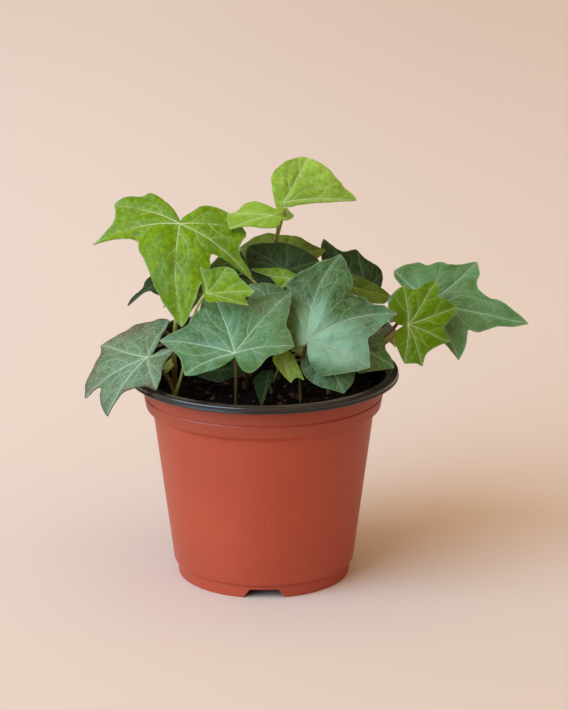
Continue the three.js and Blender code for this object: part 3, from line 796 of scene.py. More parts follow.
@dataclass
class GrowersPot:
    """The two-colour pot: foot ring with notches, tapered body, grooved collar and rolled lip.

    body and collar corners are a radius and a height. lip_under and lip_over are the lip's corners:
    how far in from its edge, how far above lip_low or below lip_high, and the rounding. A face above
    the collar and beyond lip_from is the lip's.
    """

    finish: PotFinish = PotFinish()
    steps: int = 160
    wall: float = 1.1
    foot_radius: float = 38.5
    foot_wall: float = 1.6
    foot_top: float = 5.6
    floor_low: float = 4.4
    floor_high: float = 5.8
    body_low: Pair = (40.4, 7.2)
    body_high: Pair = (49.1, 75.9)
    collar_low: Pair = (52.2, 78.2)
    collar_groove: float = 83.5
    collar_high: Pair = (53.5, 90.6)
    lip_radius: float = 60.0
    lip_inner: float = 54.2
    lip_low: float = 91.2
    lip_high: float = 94.2
    lip_from: float = 56.0
    lip_under: tuple[Point, ...] = ((0.6, -0.2, 0.4), (0, 0, 0.3), (0, 0.7, 0.3), (0.4, 0.9, 0.15))
    lip_over: tuple[Point, ...] = (
        (0.5, 1.1, 0.15), (0.15, 0.9, 0.2), (0.5, 0.3, 0.35), (1.3, 0.3, 0.3), (1.8, 0.8, 0.5),
        (3.1, 0.75, 0.5),
    )
    notches: int = 3
    notch_top: float = 12.5
    notch_bottom: float = 18.6
    notch_height: float = 4.1
    notch_flare: float = 3.0
    notch_reach: Pair = (6.0, 1.2)
    drains: int = 6
    drain_circle: float = 22.0
    drain_radius: float = 4.0
    drain_depth: float = 8.0

    def profile(self) -> list[Vector]:
        """The wall's section, up the outside and back down the inside.

        Returns:
            Points of radius and height.
        """
        wall, groove, foot, foot_top = self.wall, self.collar_groove, self.foot_radius, self.foot_top
        body_low, body_high, low, high = self.body_low, self.body_high, self.collar_low, self.collar_high
        edge, inner, under, over = self.lip_radius, self.lip_inner, self.lip_low, self.lip_high
        ring = foot - self.foot_wall
        outside = [
            (0, self.floor_low, 0), (ring, self.floor_low, 0.5), (ring, 0, 0.3), (foot, 0, 0.7),
            (foot + 0.2, foot_top, 0.4), (body_low[0] - 0.4, foot_top + 0.8, 0.4), (*body_low, 0.8),
            (*body_high, 0.8), (low[0] - 0.3, low[1] - 0.5, 0.5), (*low, 0.6),
            (high[0] - 0.5, groove - 0.7, 0.3), (high[0] - 1.0, groove, 0.25),
            (high[0] - 0.1, groove + 0.6, 0.3), (*high, 0.5), (inner + 1.2, under - 0.3, 0.4),
        ]
        lip = [(edge - inset, under + lift, radius) for inset, lift, radius in self.lip_under]
        lip += [(edge - inset, over - drop, radius) for inset, drop, radius in self.lip_over]
        inside = [
            (inner + 1.6, over, 0.9), (inner, over - 1.2, 1.0), (high[0] - wall, high[1] - 1.5, 1.5),
            (high[0] - wall, groove, 0.5), (low[0] - wall, low[1], 1.0),
            (body_high[0] - wall, body_high[1], 2.0), (body_low[0] - wall, body_low[1] + 0.4, 1.0),
            (foot - 1.0, self.floor_high, 0.8), (0, self.floor_high, 0),
        ]
        return rounded(outside + lip + inside)

    def is_lining(self, face: bmesh.types.BMFace) -> bool:
        """Whether a face belongs to the black inside, the lip or the underside of the base.

        The underside and the foot ring's inner faces are black as painted shade, to darken the notches.

        Args:
            face: A face of the spun wall.

        Returns:
            True for the lining.
        """
        centre = (face.calc_center_median() - AXIS) / MM
        across, height, level = centre.xy.length, centre.z, 0.3
        outwards = face.normal.dot(Vector((centre.x, centre.y, 0)).normalized())
        on_lip = height > self.lip_low + 0.1 or (height > self.collar_high[1] and across > self.lip_from)
        # Painted shade: the base's underside and the foot ring's inside take the black lining so the notches
        # look dark.
        below = height < self.floor_low + 0.2 and outwards < level and across < self.foot_radius - 0.6
        on_floor = face.normal.z > level and height < self.body_low[1] + 2 and across < self.foot_radius + 2
        inside = height > self.floor_high - 0.1 and (outwards < -0.02 or on_floor)
        return on_lip or below or inside

    def notch_cutter(self, bm: BMesh, turn: float) -> None:
        """Adds the block that cuts one notch through the foot ring.

        Args:
            bm: The mesh of cutters.
            turn: The notch's place round the pot, in radians from the camera side.
        """
        wide, narrow, high = self.notch_bottom / 2, self.notch_top / 2, self.notch_height
        flare, ground = wide + self.notch_flare, -0.05
        half = [(flare, -1.0, 0), (flare, ground, 0), (wide, ground, 1.6), (narrow, high, 1.3)]
        left = [(-x, z, radius) for x, z, radius in reversed(half)]
        near, far = self.foot_radius - self.notch_reach[0], self.foot_radius + self.notch_reach[1]
        verts = [bm.verts.new((point.x, -near, point.y)) for point in rounded(half + left, closed=True)]
        face = bm.faces.new(verts)
        moved = verts_in(bmesh.ops.extrude_face_region(bm, geom=[face])["geom"])
        bmesh.ops.translate(bm, verts=moved, vec=(0, near - far, 0))
        bmesh.ops.transform(bm, verts=verts + moved, matrix=self.around(turn))

    def drain_cutter(self, bm: BMesh, turn: float) -> None:
        """Adds the round plug that cuts one drain hole.

        Args:
            bm: The mesh of cutters.
            turn: The hole's place round the pot, in radians.
        """
        plug = bmesh.ops.create_cone(bm, cap_ends=True, segments=24, radius1=self.drain_radius,
                                     radius2=self.drain_radius, depth=self.drain_depth)["verts"]
        bmesh.ops.translate(bm, verts=plug, vec=(0, -self.drain_circle, self.floor_low))
        bmesh.ops.transform(bm, verts=plug, matrix=self.around(turn))

    @staticmethod
    def around(turn: float) -> Matrix:
        """Turns a shape drawn in millimetres at the axis and sets it in the frame."""
        return Matrix.Translation(AXIS) @ Matrix.Scale(MM, 4) @ Matrix.Rotation(turn, 4, "Z")

    def cut(self, bm: BMesh) -> BMesh:
        """Cuts the notches and the drain holes out of the wall.

        Args:
            bm: The spun wall, which is freed.

        Returns:
            The cut wall.
        """
        cutters = bmesh.new()
        for i in range(self.notches):
            self.notch_cutter(cutters, 2 * math.pi * i / self.notches)
        for i in range(self.drains):
            self.drain_cutter(cutters, 2 * math.pi * (i + 0.5) / self.drains + math.pi)
        bmesh.ops.recalc_face_normals(cutters, faces=cutters.faces[:])
        wall, tool = (put(name, as_mesh(name, part)) for name, part in (("wall", bm), ("cutters", cutters)))
        boolean = wall.modifiers.new("cut", "BOOLEAN")
        boolean.object, boolean.operation, boolean.solver = tool, "DIFFERENCE", "EXACT"
        cut = bmesh.new()
        cut.from_object(wall, bpy.context.evaluated_depsgraph_get())
        for item in (wall, tool):
            mesh = item.data
            bpy.data.objects.remove(item)
            bpy.data.meshes.remove(mesh)
        return cut

    def build(self) -> bpy.types.Object:
        """Makes the pot.

        Returns:
            The pot's piece.
        """
        bm = spun(self.profile(), self.steps)
        for face in bm.faces:
            face.material_index = int(self.is_lining(face))
        materials = [self.finish.shell(), self.finish.lining()]
        return make_piece("growers_pot", self.cut(bm), materials, ("pot",), sharp_from=50)


# ---------------------------------------------------------------- soil


@dataclass
class PottingSoil:
    """The soil that fills the pot, with loose crumbs and fibres on top.

    side holds the plug's corners from under its edge down to the axis, as radius and height. Each
    pair of a crumb's or a fibre's sizes is its least and its most.
    """

    finish: SoilFinish = SoilFinish()
    steps: int = 120
    rings: int = 34
    rim: float = 51.8
    top: float = 83.6
    sunk: float = 0.8
    crown: float = 1.4
    ripple: float = 0.9
    swell: float = 0.55
    lump: float = 1.1
    lump_scale: float = 0.16
    edge: float = 53.5
    side: tuple[Pair, ...] = ((50.6, 78.5), (47.4, 75.9), (39.0, 7.6), (37.1, 6.1), (0, 6.1))
    crumbs: int = 1500
    small_crumb: Pair = (0.35, 0.75)
    large_crumb: Pair = (0.8, 1.7)
    small_share: float = 0.85
    crumb_stretch: tuple[Pair, ...] = ((0.8, 1.5), (0.7, 1.1), (0.5, 0.9))
    fibres: int = 110
    fibre_radius: Pair = (0.12, 0.3)
    fibre_length: Pair = (3, 8)
    roughness: float = 0.22
    batch: int = 500
    seed: int = 11

    def height(self, x: float, y: float) -> float:
        """Height of the soil's surface above the ground.

        Args:
            x: Millimetres to the right of the pot's axis.
            y: Millimetres to the back of it.

        Returns:
            The height in millimetres.
        """
        dome = self.crown * (1 - (x * x + y * y) / self.edge**2)
        ripple = self.ripple * math.sin(0.31 * x + 1) * math.cos(0.27 * y)
        ripple += self.swell * math.sin(0.12 * x - 0.19 * y)
        lumps = noise.fractal(Vector((x, y, 0)) * self.lump_scale, 0.8, 2.2, 4)
        return self.top + dome + ripple + self.lump * lumps

    def ground(self) -> bpy.types.Object:
        """The packed soil: a fine uneven top over the plug that fills the pot.

        Returns:
            The soil's piece.
        """
        top = [Vector((self.rim * i / self.rings, self.top)) for i in range(self.rings + 1)]
        bm = spun(top + [Vector(point) for point in self.side], self.steps)
        for vert in bm.verts:
            local = (vert.co - AXIS) / MM
            if local.z > self.top - 0.01:
                inside = smooth_step(self.rim - local.xy.length, 0.0, 3.0)
                lift = self.height(local.x, local.y) - self.top
                vert.co.z = (self.top - self.sunk + (lift + self.sunk) * inside) * MM
        return make_piece("potting_soil", bm, [self.finish.ground()], ("soil",), 180)

    def add_crumb(self, bm: BMesh, draw: random.Random) -> tuple[list, float, list[float]]:
        """Adds a plain crumb at the origin.

        Args:
            bm: The mesh, in millimetres.
            draw: The source of its sizes.

        Returns:
            Its vertices, its size and how it is stretched.
        """
        size = draw.uniform(*(self.small_crumb if draw.random() < self.small_share else self.large_crumb))
        made = bmesh.ops.create_icosphere(bm, subdivisions=1, radius=size)["verts"]
        return made, size, [draw.uniform(*span) for span in self.crumb_stretch]

    def add_fibre(self, bm: BMesh, draw: random.Random) -> tuple[list, float, list[float]]:
        """Adds a plain fibre at the origin, lying down.

        Args:
            bm: The mesh, in millimetres.
            draw: The source of its sizes.

        Returns:
            Its vertices, its size and how it is stretched.
        """
        size = draw.uniform(*self.fibre_radius)
        made = bmesh.ops.create_cone(bm, cap_ends=True, segments=5, radius1=size, radius2=size * 0.5,
                                     depth=draw.uniform(*self.fibre_length))["verts"]
        bmesh.ops.rotate(bm, verts=made, matrix=Matrix.Rotation(math.pi / 2, 3, "X"))
        return made, size, [1, 1, 1]

    def scatter(self) -> bpy.types.Object:
        """The loose crumbs and fibres, each sunk a little into the soil.

        Returns:
            Their piece.
        """
        draw = random.Random(self.seed)
        bm, batch = bmesh.new(), bmesh.new()
        tone = batch.verts.layers.float.new("tone")
        for i in range(self.crumbs + self.fibres):
            if len(batch.verts) > self.batch:
                merge(bm, batch)
                batch = bmesh.new()
                tone = batch.verts.layers.float.new("tone")
            turn, reach = draw.uniform(0, 2 * math.pi), (self.rim - 1.5) * math.sqrt(draw.random())
            x, y = reach * math.cos(turn), reach * math.sin(turn)
            spin = Matrix.Rotation(draw.uniform(0, math.pi), 4, "Z")
            spin = spin @ Matrix.Rotation(draw.uniform(-0.5, 0.5), 4, "X")
            made, size, stretch = (self.add_crumb if i < self.crumbs else self.add_fibre)(batch, draw)
            shade = draw.random()
            for vert in made:
                vert.co += Vector([draw.uniform(-self.roughness, self.roughness) * size for _ in range(3)])
                vert[tone] = shade
            bmesh.ops.scale(batch, verts=made, vec=stretch)
            site = Matrix.Translation(place(x, y, self.height(x, y) + 0.25 * size))
            bmesh.ops.transform(batch, verts=made, matrix=site @ Matrix.Scale(MM, 4) @ spin)
        merge(bm, batch)
        return make_piece("soil_crumbs", bm, [self.finish.crumb()], ())

    def build(self) -> list[bpy.types.Object]:
        """Makes the soil and what lies on it."""
        return [self.ground(), self.scatter()]


# ---------------------------------------------------------------- leaf outlines
# An outline is a row of polar points about the place where the stalk meets the blade, turned
# clockwise from the middle lobe as seen from above the blade: (angle, reach) is a rounded
# stretch or a notch, and (angle, reach, lift) is a pointed tip with its height off the blade's
# plane. Degrees and millimetres.


def mirrored(half: Edge) -> Edge:
    """An outline's right half and its mirror image, from left to right."""
    left = tuple((-angle, *rest) for angle, *rest in reversed(half) if angle)
    return left + half


def scaled(shape: Edge, size: float, droop: float) -> Edge:
    """A unit outline at its real size, its tips bent down by a share of their reach."""
    return tuple((angle, reach * size, *(value * size * droop for value in lift))
                 for angle, reach, *lift in shape)


FIVE_LOBES = mirrored(((0, 1, -1), (26, 0.6), (52, 0.82, -0.8), (80, 0.55), (108, 0.62, -0.5), (150, 0.3)))
THREE_LOBES = mirrored(((0, 1, -1), (24, 0.66), (54, 0.72, -0.7), (96, 0.46), (145, 0.34)))
BASAL_NOTCH = 1.5
TIP_CUT = 0.7


def mature(size: float, droop: float = 0.14) -> Edge:
    """A five-lobed outline."""
    return scaled(FIVE_LOBES, size, droop)


def young(size: float, droop: float = 0.14) -> Edge:
    """A three-lobed outline."""
    return scaled(THREE_LOBES, size, droop)


def polar(angle: float, reach: float) -> Vector:
    """A point of the blade's plane: to the middle lobe's right, and along that lobe."""
    turn = math.radians(angle)
    return Vector((reach * math.sin(turn), reach * math.cos(turn)))


def bearing(spot: Vector) -> float:
    """The turn of a point of the blade's plane from the middle lobe, in degrees."""
    return math.degrees(math.atan2(spot.x, spot.y))


def bell(distance: float, width: float) -> float:
    """A bell curve: 1 in the middle, and near 0 two widths away."""
    return math.exp(-((distance / width) ** 2))


def compass(turn: float, height: float) -> Vector:
    """The direction that a turn to the right of the camera side and a height give, in degrees."""
    side, up = math.radians(turn), math.radians(height)
    return Vector((math.sin(side) * math.cos(up), -math.cos(side) * math.cos(up), math.sin(up)))


def outline(edge: Edge, steps: int) -> list[Vector]:
    """The blade's closed outline: blunt tips, a notch at the base, and curves between them.

    Args:
        edge: The outline's polar points.
        steps: How many edges each curved stretch has.

    Returns:
        The outline's points, from the base round to just before it.
    """
    points = [Vector((0, -BASAL_NOTCH))] + [polar(*point[:2]) for point in edge]
    corner = [True] + [len(point) == 3 for point in edge]
    count = len(points)
    tangents = [(points[(i + 1) % count] - points[i - 1]).normalized() for i in range(count)]
    path = []
    for i, start in enumerate(points):
        j = (i + 1) % count
        end = points[j]
        third = (end - start).length / 3
        first = None if corner[i] else start + tangents[i] * third
        second = None if corner[j] else end - tangents[j] * third
        if first is None and second is None:
            first, second = start.lerp(end, 1 / 3), start.lerp(end, 2 / 3)
        first = first or start.lerp(second, 0.5)
        second = second or end.lerp(first, 0.5)
        path += [bezier(start, first, second, end, k / steps) for k in range(steps)]
    tips = {i * steps for i in range(1, count) if corner[i]}
    return [spot for i, point in enumerate(path) for spot in (blunted(path, i) if i in tips else [point])]


def blunted(path: list[Vector], i: int) -> list[Vector]:
    """Cuts a tip's corner back a little and rounds it.

    Args:
        path: The closed outline.
        i: The tip's number on it.

    Returns:
        The points that stand for the tip.
    """
    tip, sides = path[i], (path[i - 1], path[(i + 1) % len(path)])
    start, end = (tip + (beside - tip).normalized() * TIP_CUT for beside in sides)
    return [start, start * 0.25 + tip * 0.5 + end * 0.25, end]


def bezier(a: Vector, b: Vector, c: Vector, d: Vector, share: float) -> Vector:
    """A point of a cubic curve."""
    rest = 1 - share
    return a * rest**3 + b * (3 * rest**2 * share) + c * (3 * rest * share**2) + d * share**3


# ---------------------------------------------------------------- blades


@dataclass(frozen=True)
class Facing:
    """How a blade lies: the way its upper side faces, and the way its middle lobe points."""

    normal: Vector
    middle: Vector
    side: Vector

    @classmethod
    def of(cls, face: Pair, aim: float) -> "Facing":
        """Works the three directions out.

        Args:
            face: The upper side's compass turn from the camera side, and its tilt, in degrees.
            aim: The middle lobe's clock turn from uphill, in degrees.

        Returns:
            The blade's own axes.
        """
        normal = compass(*face)
        uphill = (Vector((0, 0, 1)) - normal * normal.z).normalized()
        across = uphill.cross(normal)
        clock = math.radians(aim)
        middle = across * math.sin(clock) + uphill * math.cos(clock)
        side = across * math.cos(clock) - uphill * math.sin(clock)
        return cls(normal, middle, side)


@dataclass(frozen=True)
class VeinHabit:
    """How veins grow, in millimetres, degrees and shares.

    A main vein runs to reach of the way to its tip, and leaves the stalk less splayed than the tip
    lies. pull is where its curve's two handles lie, and width is a base and what each millimetre of
    leaf adds. Branches are apart by a least distance, or by a share of the leaf's size where that is
    more. They end at margin_gap of the way out, or where another main vein is nearer than ground_gap
    of the way to their own. The other pairs are a least and a most.
    """

    step: float = 0.7
    reach: float = 0.97
    splay: float = 14.0
    full_splay: float = 60.0
    pull: Pair = (0.33, 0.68)
    width: Pair = (0.15, 0.0045)
    fork_width: float = 0.8
    end: float = 0.1
    apart: Pair = (3.8, 0.16)
    first_gap: Pair = (0.35, 0.9)
    gap: Pair = (0.45, 0.75)
    branch_turn: Pair = (46, 56)
    branch_width: float = 0.66
    branch_end: float = 0.045
    shortest: int = 3
    twigs_from: float = 0.7
    twig_parent: int = 9
    twig_every: tuple[int, int] = (3, 5)
    twig_turn: float = 0.85
    twig_steps: int = 7
    twig_width: float = 0.5
    twig_end: float = 0.03
    curl: float = 0.035
    stray: float = 0.09
    margin_gap: float = 0.93
    ground_gap: float = 0.55


@dataclass
class Vein:
    """One vein in the blade's plane, with its half width at each end in millimetres."""

    path: list[Vector]
    thick: float
    thin: float
    rank: int

    def width(self, share: float) -> float:
        """Its half width where that share of its taper is done."""
        return self.thick + (self.thin - self.thick) * share


def spot_finder(veins: list[Vein]) -> kdtree.KDTree:
    """A search tree that finds how near a spot is to some veins.

    Args:
        veins: The veins.

    Returns:
        The balanced tree.
    """
    spots = [spot for vein in veins for spot in vein.path]
    finder = kdtree.KDTree(len(spots))
    for i, spot in enumerate(spots):
        finder.insert(spot.to_3d(), i)
    finder.balance()
    return finder


@dataclass
class Blade:
    """A thin bent blade on a fan of rings about the stalk's end, with a tree of raised veins.

    A fork is a tip's vein, the vein that it leaves and how far along. bows gives a main vein's bend
    where it isn't left to chance. The sheen value is how strong the painted sheen is, a pale haze
    that stands in for reflected light, and the sheen turn is the side that it reaches out to.
    boldness makes the veins wider and closer, and fainter where it is under 1.
    """

    at: Point
    facing: Facing
    edge: Edge
    forks: tuple[tuple[int, int, float], ...] = ()
    bows: dict[int, float] = field(default_factory=dict)
    thickness: float = 0.42
    steps: int = 8
    rings: int = 22
    quilting: float = 0.5
    quilt_width: float = 0.11
    dimple: float = 0.35
    dimple_width: float = 1.3
    groove: float = 0.35
    groove_width: float = 0.8
    waviness: float = 0.7
    ruffle: float = 0.012
    bow: float = 0.1
    habit: VeinHabit = VeinHabit()
    seed: float = 0.0
    tone: float = 0.0
    painted_sheen: float = 0.0
    painted_sheen_turn: float | None = None
    painted_sheen_fade: Pair = (35, 95)
    boldness: float = 1.0
    rank_fade: float = 0.32
    taper_fade: float = 0.3

    def __post_init__(self) -> None:
        """Works out the tips, the margin and the veins."""
        self.tips = [(p[0], p[1], p[2] / p[1] ** 2) for p in self.edge if len(p) == 3]
        self.size = max(point[1] for point in self.edge)
        self.path = [self.ruffled(point) for point in outline(self.edge, self.steps)]
        self.margin = sorted((bearing(point), point.length) for point in self.path)
        self.veins = self.main_veins()
        grounds = [spot_finder([vein]) for vein in self.veins]
        for i, vein in enumerate(self.veins[:]):
            self.veins += self.side_veins(vein, grounds[i], grounds[:i] + grounds[i + 1:])
        self.near_main = spot_finder(self.veins[:len(grounds)])
        self.near_any = spot_finder(self.veins)

    def wander(self, spot: Vector, size: float, layer: int = 0) -> float:
        """Smooth chance over the blade, in waves of a size in millimetres."""
        return noise.noise(Vector((spot.x / size, spot.y / size, self.seed + layer)))

    def ruffled(self, point: Vector) -> Vector:
        """Gives the margin its small irregular waves."""
        waves = self.wander(point, 5) + 0.4 * self.wander(point, 1.8, 9)
        return point * (1 + self.ruffle * waves * 2)

    def bend(self, angle: float) -> float:
        """How strongly the blade bends out of its plane.

        Args:
            angle: The direction, in degrees from the middle lobe.

        Returns:
            The lift over the reach squared.
        """
        if angle <= self.tips[0][0]:
            return self.tips[0][2]
        for (start, _, first), (end, _, second) in zip(self.tips, self.tips[1:]):
            if angle < end:
                return first + (second - first) * (angle - start) / (end - start)
        return self.tips[-1][2]

    def share(self, spot: Vector) -> float:
        """How far out a spot lies.

        Args:
            spot: The spot in the blade's plane.

        Returns:
            0 at the stalk, 1 at the margin.
        """
        angle = bearing(spot)
        i = bisect.bisect(self.margin, (angle, 0))
        (low, first), (high, second) = self.margin[i - 1], self.margin[i % len(self.margin)]
        blend = (angle - low) / (high - low) if high > low else 0.0
        return spot.length / (first + (second - first) * blend)

    def main_veins(self) -> list[Vein]:
        """Draws one vein from the stalk, or from a fork of another vein, to each tip.

        Returns:
            The main veins.
        """
        parents = {child: (parent, share) for child, parent, share in self.forks}
        habit, drawn = self.habit, {}
        for i in sorted(range(len(self.tips)), key=lambda i: i in parents):
            angle, reach, _ = self.tips[i]
            root, tip = Vector((0, 0)), polar(angle, reach * habit.reach)
            splay = habit.splay * min(1, abs(angle) / habit.full_splay)
            leave = polar(angle - math.copysign(splay, angle), 1)
            if i in parents:
                stem = drawn[parents[i][0]]
                k = round(parents[i][1] * (len(stem) - 1))
                root, leave = stem[k], (stem[k + 1] - stem[k]).normalized()
            length = (tip - root).length
            side = Vector((tip.y - root.y, root.x - tip.x))
            swing = side * self.bows.get(i, noise.noise(Vector((angle, self.seed, 3))) * self.bow)
            early, late = habit.pull
            first, second = root + leave * length * early, root.lerp(tip, late) + swing
            if i in self.bows:
                first = root.lerp(tip, early) + swing
            steps = max(8, round(length / habit.step))
            drawn[i] = [bezier(root, first, second, tip, k / steps) for k in range(steps + 1)]
        width = (habit.width[0] + habit.width[1] * self.size) * (0.5 + 0.5 * self.boldness)
        return [
            Vein(path, width * (habit.fork_width if i in parents else 1) * min(1, 0.6 + len(path) / 80),
                 habit.end, 0)
            for i, path in drawn.items()
        ]

    def side_veins(self, vein: Vein, own: kdtree.KDTree, others: list[kdtree.KDTree]) -> list[Vein]:
        """The branches that leave a main vein on either side and curve towards the margin.

        Args:
            vein: The main vein.
            own: Its own ground.
            others: The other main veins' grounds.

        Returns:
            Its branches and their twigs.
        """
        habit, found = self.habit, []
        draw = random.Random(len(vein.path) * 7 + self.seed)
        apart = max(habit.apart[0], habit.apart[1] * self.size) / habit.step / self.boldness
        k, hand = apart * draw.uniform(*habit.first_gap), draw.choice((-1, 1))
        while k < len(vein.path) - 4:
            i = int(k)
            ahead = (vein.path[i + 1] - vein.path[i]).normalized()
            turn = hand * math.radians(draw.uniform(*habit.branch_turn))
            branch = self.march(vein.path[i], ahead, turn, own, others, draw)
            if len(branch) > habit.shortest:
                thick = habit.branch_width * vein.width(i / len(vein.path))
                found.append(Vein(branch, thick, habit.branch_end, 1))
                if len(branch) > habit.twig_parent and self.boldness > habit.twigs_from:
                    for j in range(3, len(branch) - 4, draw.randint(*habit.twig_every)):
                        ahead = (branch[j + 1] - branch[j]).normalized()
                        turn = draw.choice((-1, 1)) * habit.twig_turn
                        twig = self.march(branch[j], ahead, turn, own, others, draw, habit.twig_steps)
                        if len(twig) > habit.shortest:
                            found.append(Vein(twig, thick * habit.twig_width, habit.twig_end, 2))
            hand = -hand
            k += apart * draw.uniform(*habit.gap)
        return found

    def march(self, start: Vector, ahead: Vector, turn: float, own: kdtree.KDTree,
              others: list[kdtree.KDTree], draw: random.Random, longest: int = 40) -> list[Vector]:
        """Lets a branch grow until it nears the margin or another vein's ground.

        Args:
            start: Where it leaves its parent.
            ahead: The parent's direction there.
            turn: The angle at which it leaves, in radians.
            own: The ground of the main vein that it belongs to.
            others: The other main veins' grounds.
            draw: The source of its wander.
            longest: The most steps that it takes.

        Returns:
            Its path.
        """
        habit, path, heading = self.habit, [start.copy()], math.atan2(ahead.x, ahead.y) + turn
        back = math.copysign(habit.curl, -turn)
        for _ in range(longest):
            heading += back + draw.uniform(-habit.stray, habit.stray)
            spot = path[-1] + Vector((math.sin(heading), math.cos(heading))) * habit.step
            if self.share(spot) > habit.margin_gap:
                break
            flat = spot.to_3d()
            if any(other.find(flat)[2] < own.find(flat)[2] * habit.ground_gap for other in others):
                break
            path.append(spot)
        return path

    def height(self, spot: Vector, share: float) -> tuple[float, float]:
        """How far a spot stands off the blade's plane, and how near a vein it is.

        Args:
            spot: The spot in the blade's plane.
            share: How far out it lies, from 0 at the stalk to 1 at the margin.

        Returns:
            The height in millimetres, and a nearness that is 1 on a vein.
        """
        flat = spot.to_3d()
        main, side = self.near_main.find(flat)[2], self.near_any.find(flat)[2]
        near_stalk = smooth_step(spot.length, 0, 0.22 * self.size)
        lift = self.bend(bearing(spot)) * spot.length_squared
        swell = 1 - bell(main, self.quilt_width * self.size)
        lift += self.quilting * swell * near_stalk * (1.1 - 0.6 * share)
        lift += self.dimple * self.quilting * (1 - bell(side, self.dimple_width)) * near_stalk
        lift -= self.groove * bell(main, self.groove_width) * near_stalk * (1 - 0.6 * share)
        lift += self.waviness * self.wander(spot, 13) * 1.5 * share
        lift += self.waviness * self.wander(spot, 5, 5) * share**3
        return lift, max(bell(main, 1.1), 0.6 * bell(side, 0.6))

    def painted_sheen_reach(self, margin: Vector, share: float) -> float:
        """How strong the painted sheen is at a spot: full near the stalk, and out towards one side only.

        Args:
            margin: The spot of the margin that it lies towards.
            share: How far out it lies.

        Returns:
            Its share of the bloom.
        """
        if self.painted_sheen_turn is None:
            return 1.0
        aside = abs(bearing(margin) - self.painted_sheen_turn)
        return 1 - smooth_step(aside, *self.painted_sheen_fade) * smooth_step(share, 0.2, 0.65)

    def surface(self, spot: Vector, share: float, depth: float) -> tuple[Vector, float]:
        """The place of a spot on the bent blade.

        Args:
            spot: The spot in the blade's plane.
            share: How far out it lies.
            depth: How far below the upper side.

        Returns:
            The point in the frame, and its nearness to a vein.
        """
        lift, near = self.height(spot, share)
        axes = self.facing
        local = axes.side * spot.x + axes.middle * spot.y + axes.normal * (lift + self.thickness / 2 - depth)
        return place(*self.at) + local * MM, near

    def add_to(self, bm: BMesh, upper: int = 0, under: int = 1, veins: int = 3) -> None:
        """Adds the blade's mesh.

        Args:
            bm: The mesh, which has the blade's layers.
            upper: The material number of the upper side and the margin.
            under: The material number of the underside.
            veins: The material number of the raised veins.
        """
        self.raise_veins(bm, veins)
        vein, reach, tone, painted_sheen = (bm.verts.layers.float[name] for name in BLADE_LAYERS)
        path = self.path + self.path[:1]
        columns = len(self.path)
        made = bmesh.ops.create_grid(bm, x_segments=columns, y_segments=self.rings, size=0.5)["verts"]
        for vert in made:
            i, j = round((vert.co.x + 0.5) * columns), round((vert.co.y + 0.5) * self.rings)
            share = (j / self.rings) ** 0.9
            vert.co, vert[vein] = self.surface(path[i] * share, share, self.thickness)
            vert[reach], vert[tone] = share, self.tone
            # Each vertex keeps its share of the painted sheen.
            vert[painted_sheen] = self.painted_sheen * self.painted_sheen_reach(path[i], share)
        faces = faces_at(made)
        bmesh.ops.remove_doubles(bm, verts=made, dist=SAME_PLACE)
        self.thicken(bm, [face for face in faces if face.is_valid], upper, under)

    def raise_veins(self, bm: BMesh, material: int) -> None:
        """Lays the veins along the upper side as thin tapering ribs, half sunk.

        Args:
            bm: The mesh.
            material: The material number of their faces.
        """
        tubes, shades = [], []
        for vein in self.veins:
            last = len(vein.path) - 1
            keep = list(range(0, last, 2 if vein.rank else 1)) + [last]
            radii = [vein.width((k / last) ** 0.8) for k in keep]
            path = [
                self.surface(vein.path[k], min(1.0, self.share(vein.path[k])), radius * 0.15)[0]
                for k, radius in zip(keep, radii)
            ]
            tubes.append(Tube(path, [radius * MM for radius in radii]))
            faint = 0.5 * (1 - self.boldness) + self.rank_fade * vein.rank
            shades.append((faint, faint + self.taper_fade))
        sweep(bm, tubes, 5, material, shades)

    def thicken(self, bm: BMesh, faces: list, upper: int, under: int) -> None:
        """Raises a copy of the sheet to be the upper side, and joins the two round the margin.

        Args:
            bm: The mesh.
            faces: The sheet's faces, which become the underside.
            upper: The material number of the upper side and the margin.
            under: The material number of the underside.
        """
        verts = verts_in(bmesh.ops.extrude_face_region(bm, geom=faces, use_keep_orig=True)["geom"])
        bmesh.ops.translate(bm, verts=verts, vec=self.facing.normal * self.thickness * MM)
        bmesh.ops.reverse_faces(bm, faces=faces)
        for face in faces_at(verts):
            face.material_index = upper
        for face in faces:
            face.material_index = under


# ---------------------------------------------------------------- vines


@dataclass(frozen=True)
class Bud:
    """The small folded leaf at a stem's growing end."""

    along: float
    face: Pair
    aim: float
    size: float


class SmoothCurve:
    """A curve through points, evened so that it never loops between near ones."""

    def __init__(self, points: tuple[Point, ...]) -> None:
        """Takes the points, in millimetres from the pot's axis."""
        inner = [Vector(point) for point in points]
        self.points = [inner[0] * 2 - inner[1], *inner, inner[-1] * 2 - inner[-2]]

    def point(self, share: float) -> Vector:
        """The place a share of the way along.

        Args:
            share: From 0 at the first point to 1 at the last.

        Returns:
            The point in millimetres.
        """
        spans = len(self.points) - 3
        place_on = min(share * spans, spans - 1e-9)
        start = int(place_on)
        a, b, c, d = self.points[start:start + 4]
        first, middle, last = ((q - p).length ** 0.5 for p, q in ((a, b), (b, c), (c, d)))
        leave = ((b - a) / first - (c - a) / (first + middle) + (c - b) / middle) * middle
        arrive = ((c - b) / middle - (d - b) / (middle + last) + (d - c) / last) * middle
        t = place_on - start
        return (b + leave * t + (c * 3 - b * 3 - leave * 2 - arrive) * t**2
                + (b * 2 - c * 2 + leave + arrive) * t**3)

    def tangent(self, share: float) -> Vector:
        """The direction a share of the way along."""
        step = 1e-4
        return (self.point(min(1.0, share + step)) - self.point(max(0.0, share - step))).normalized()


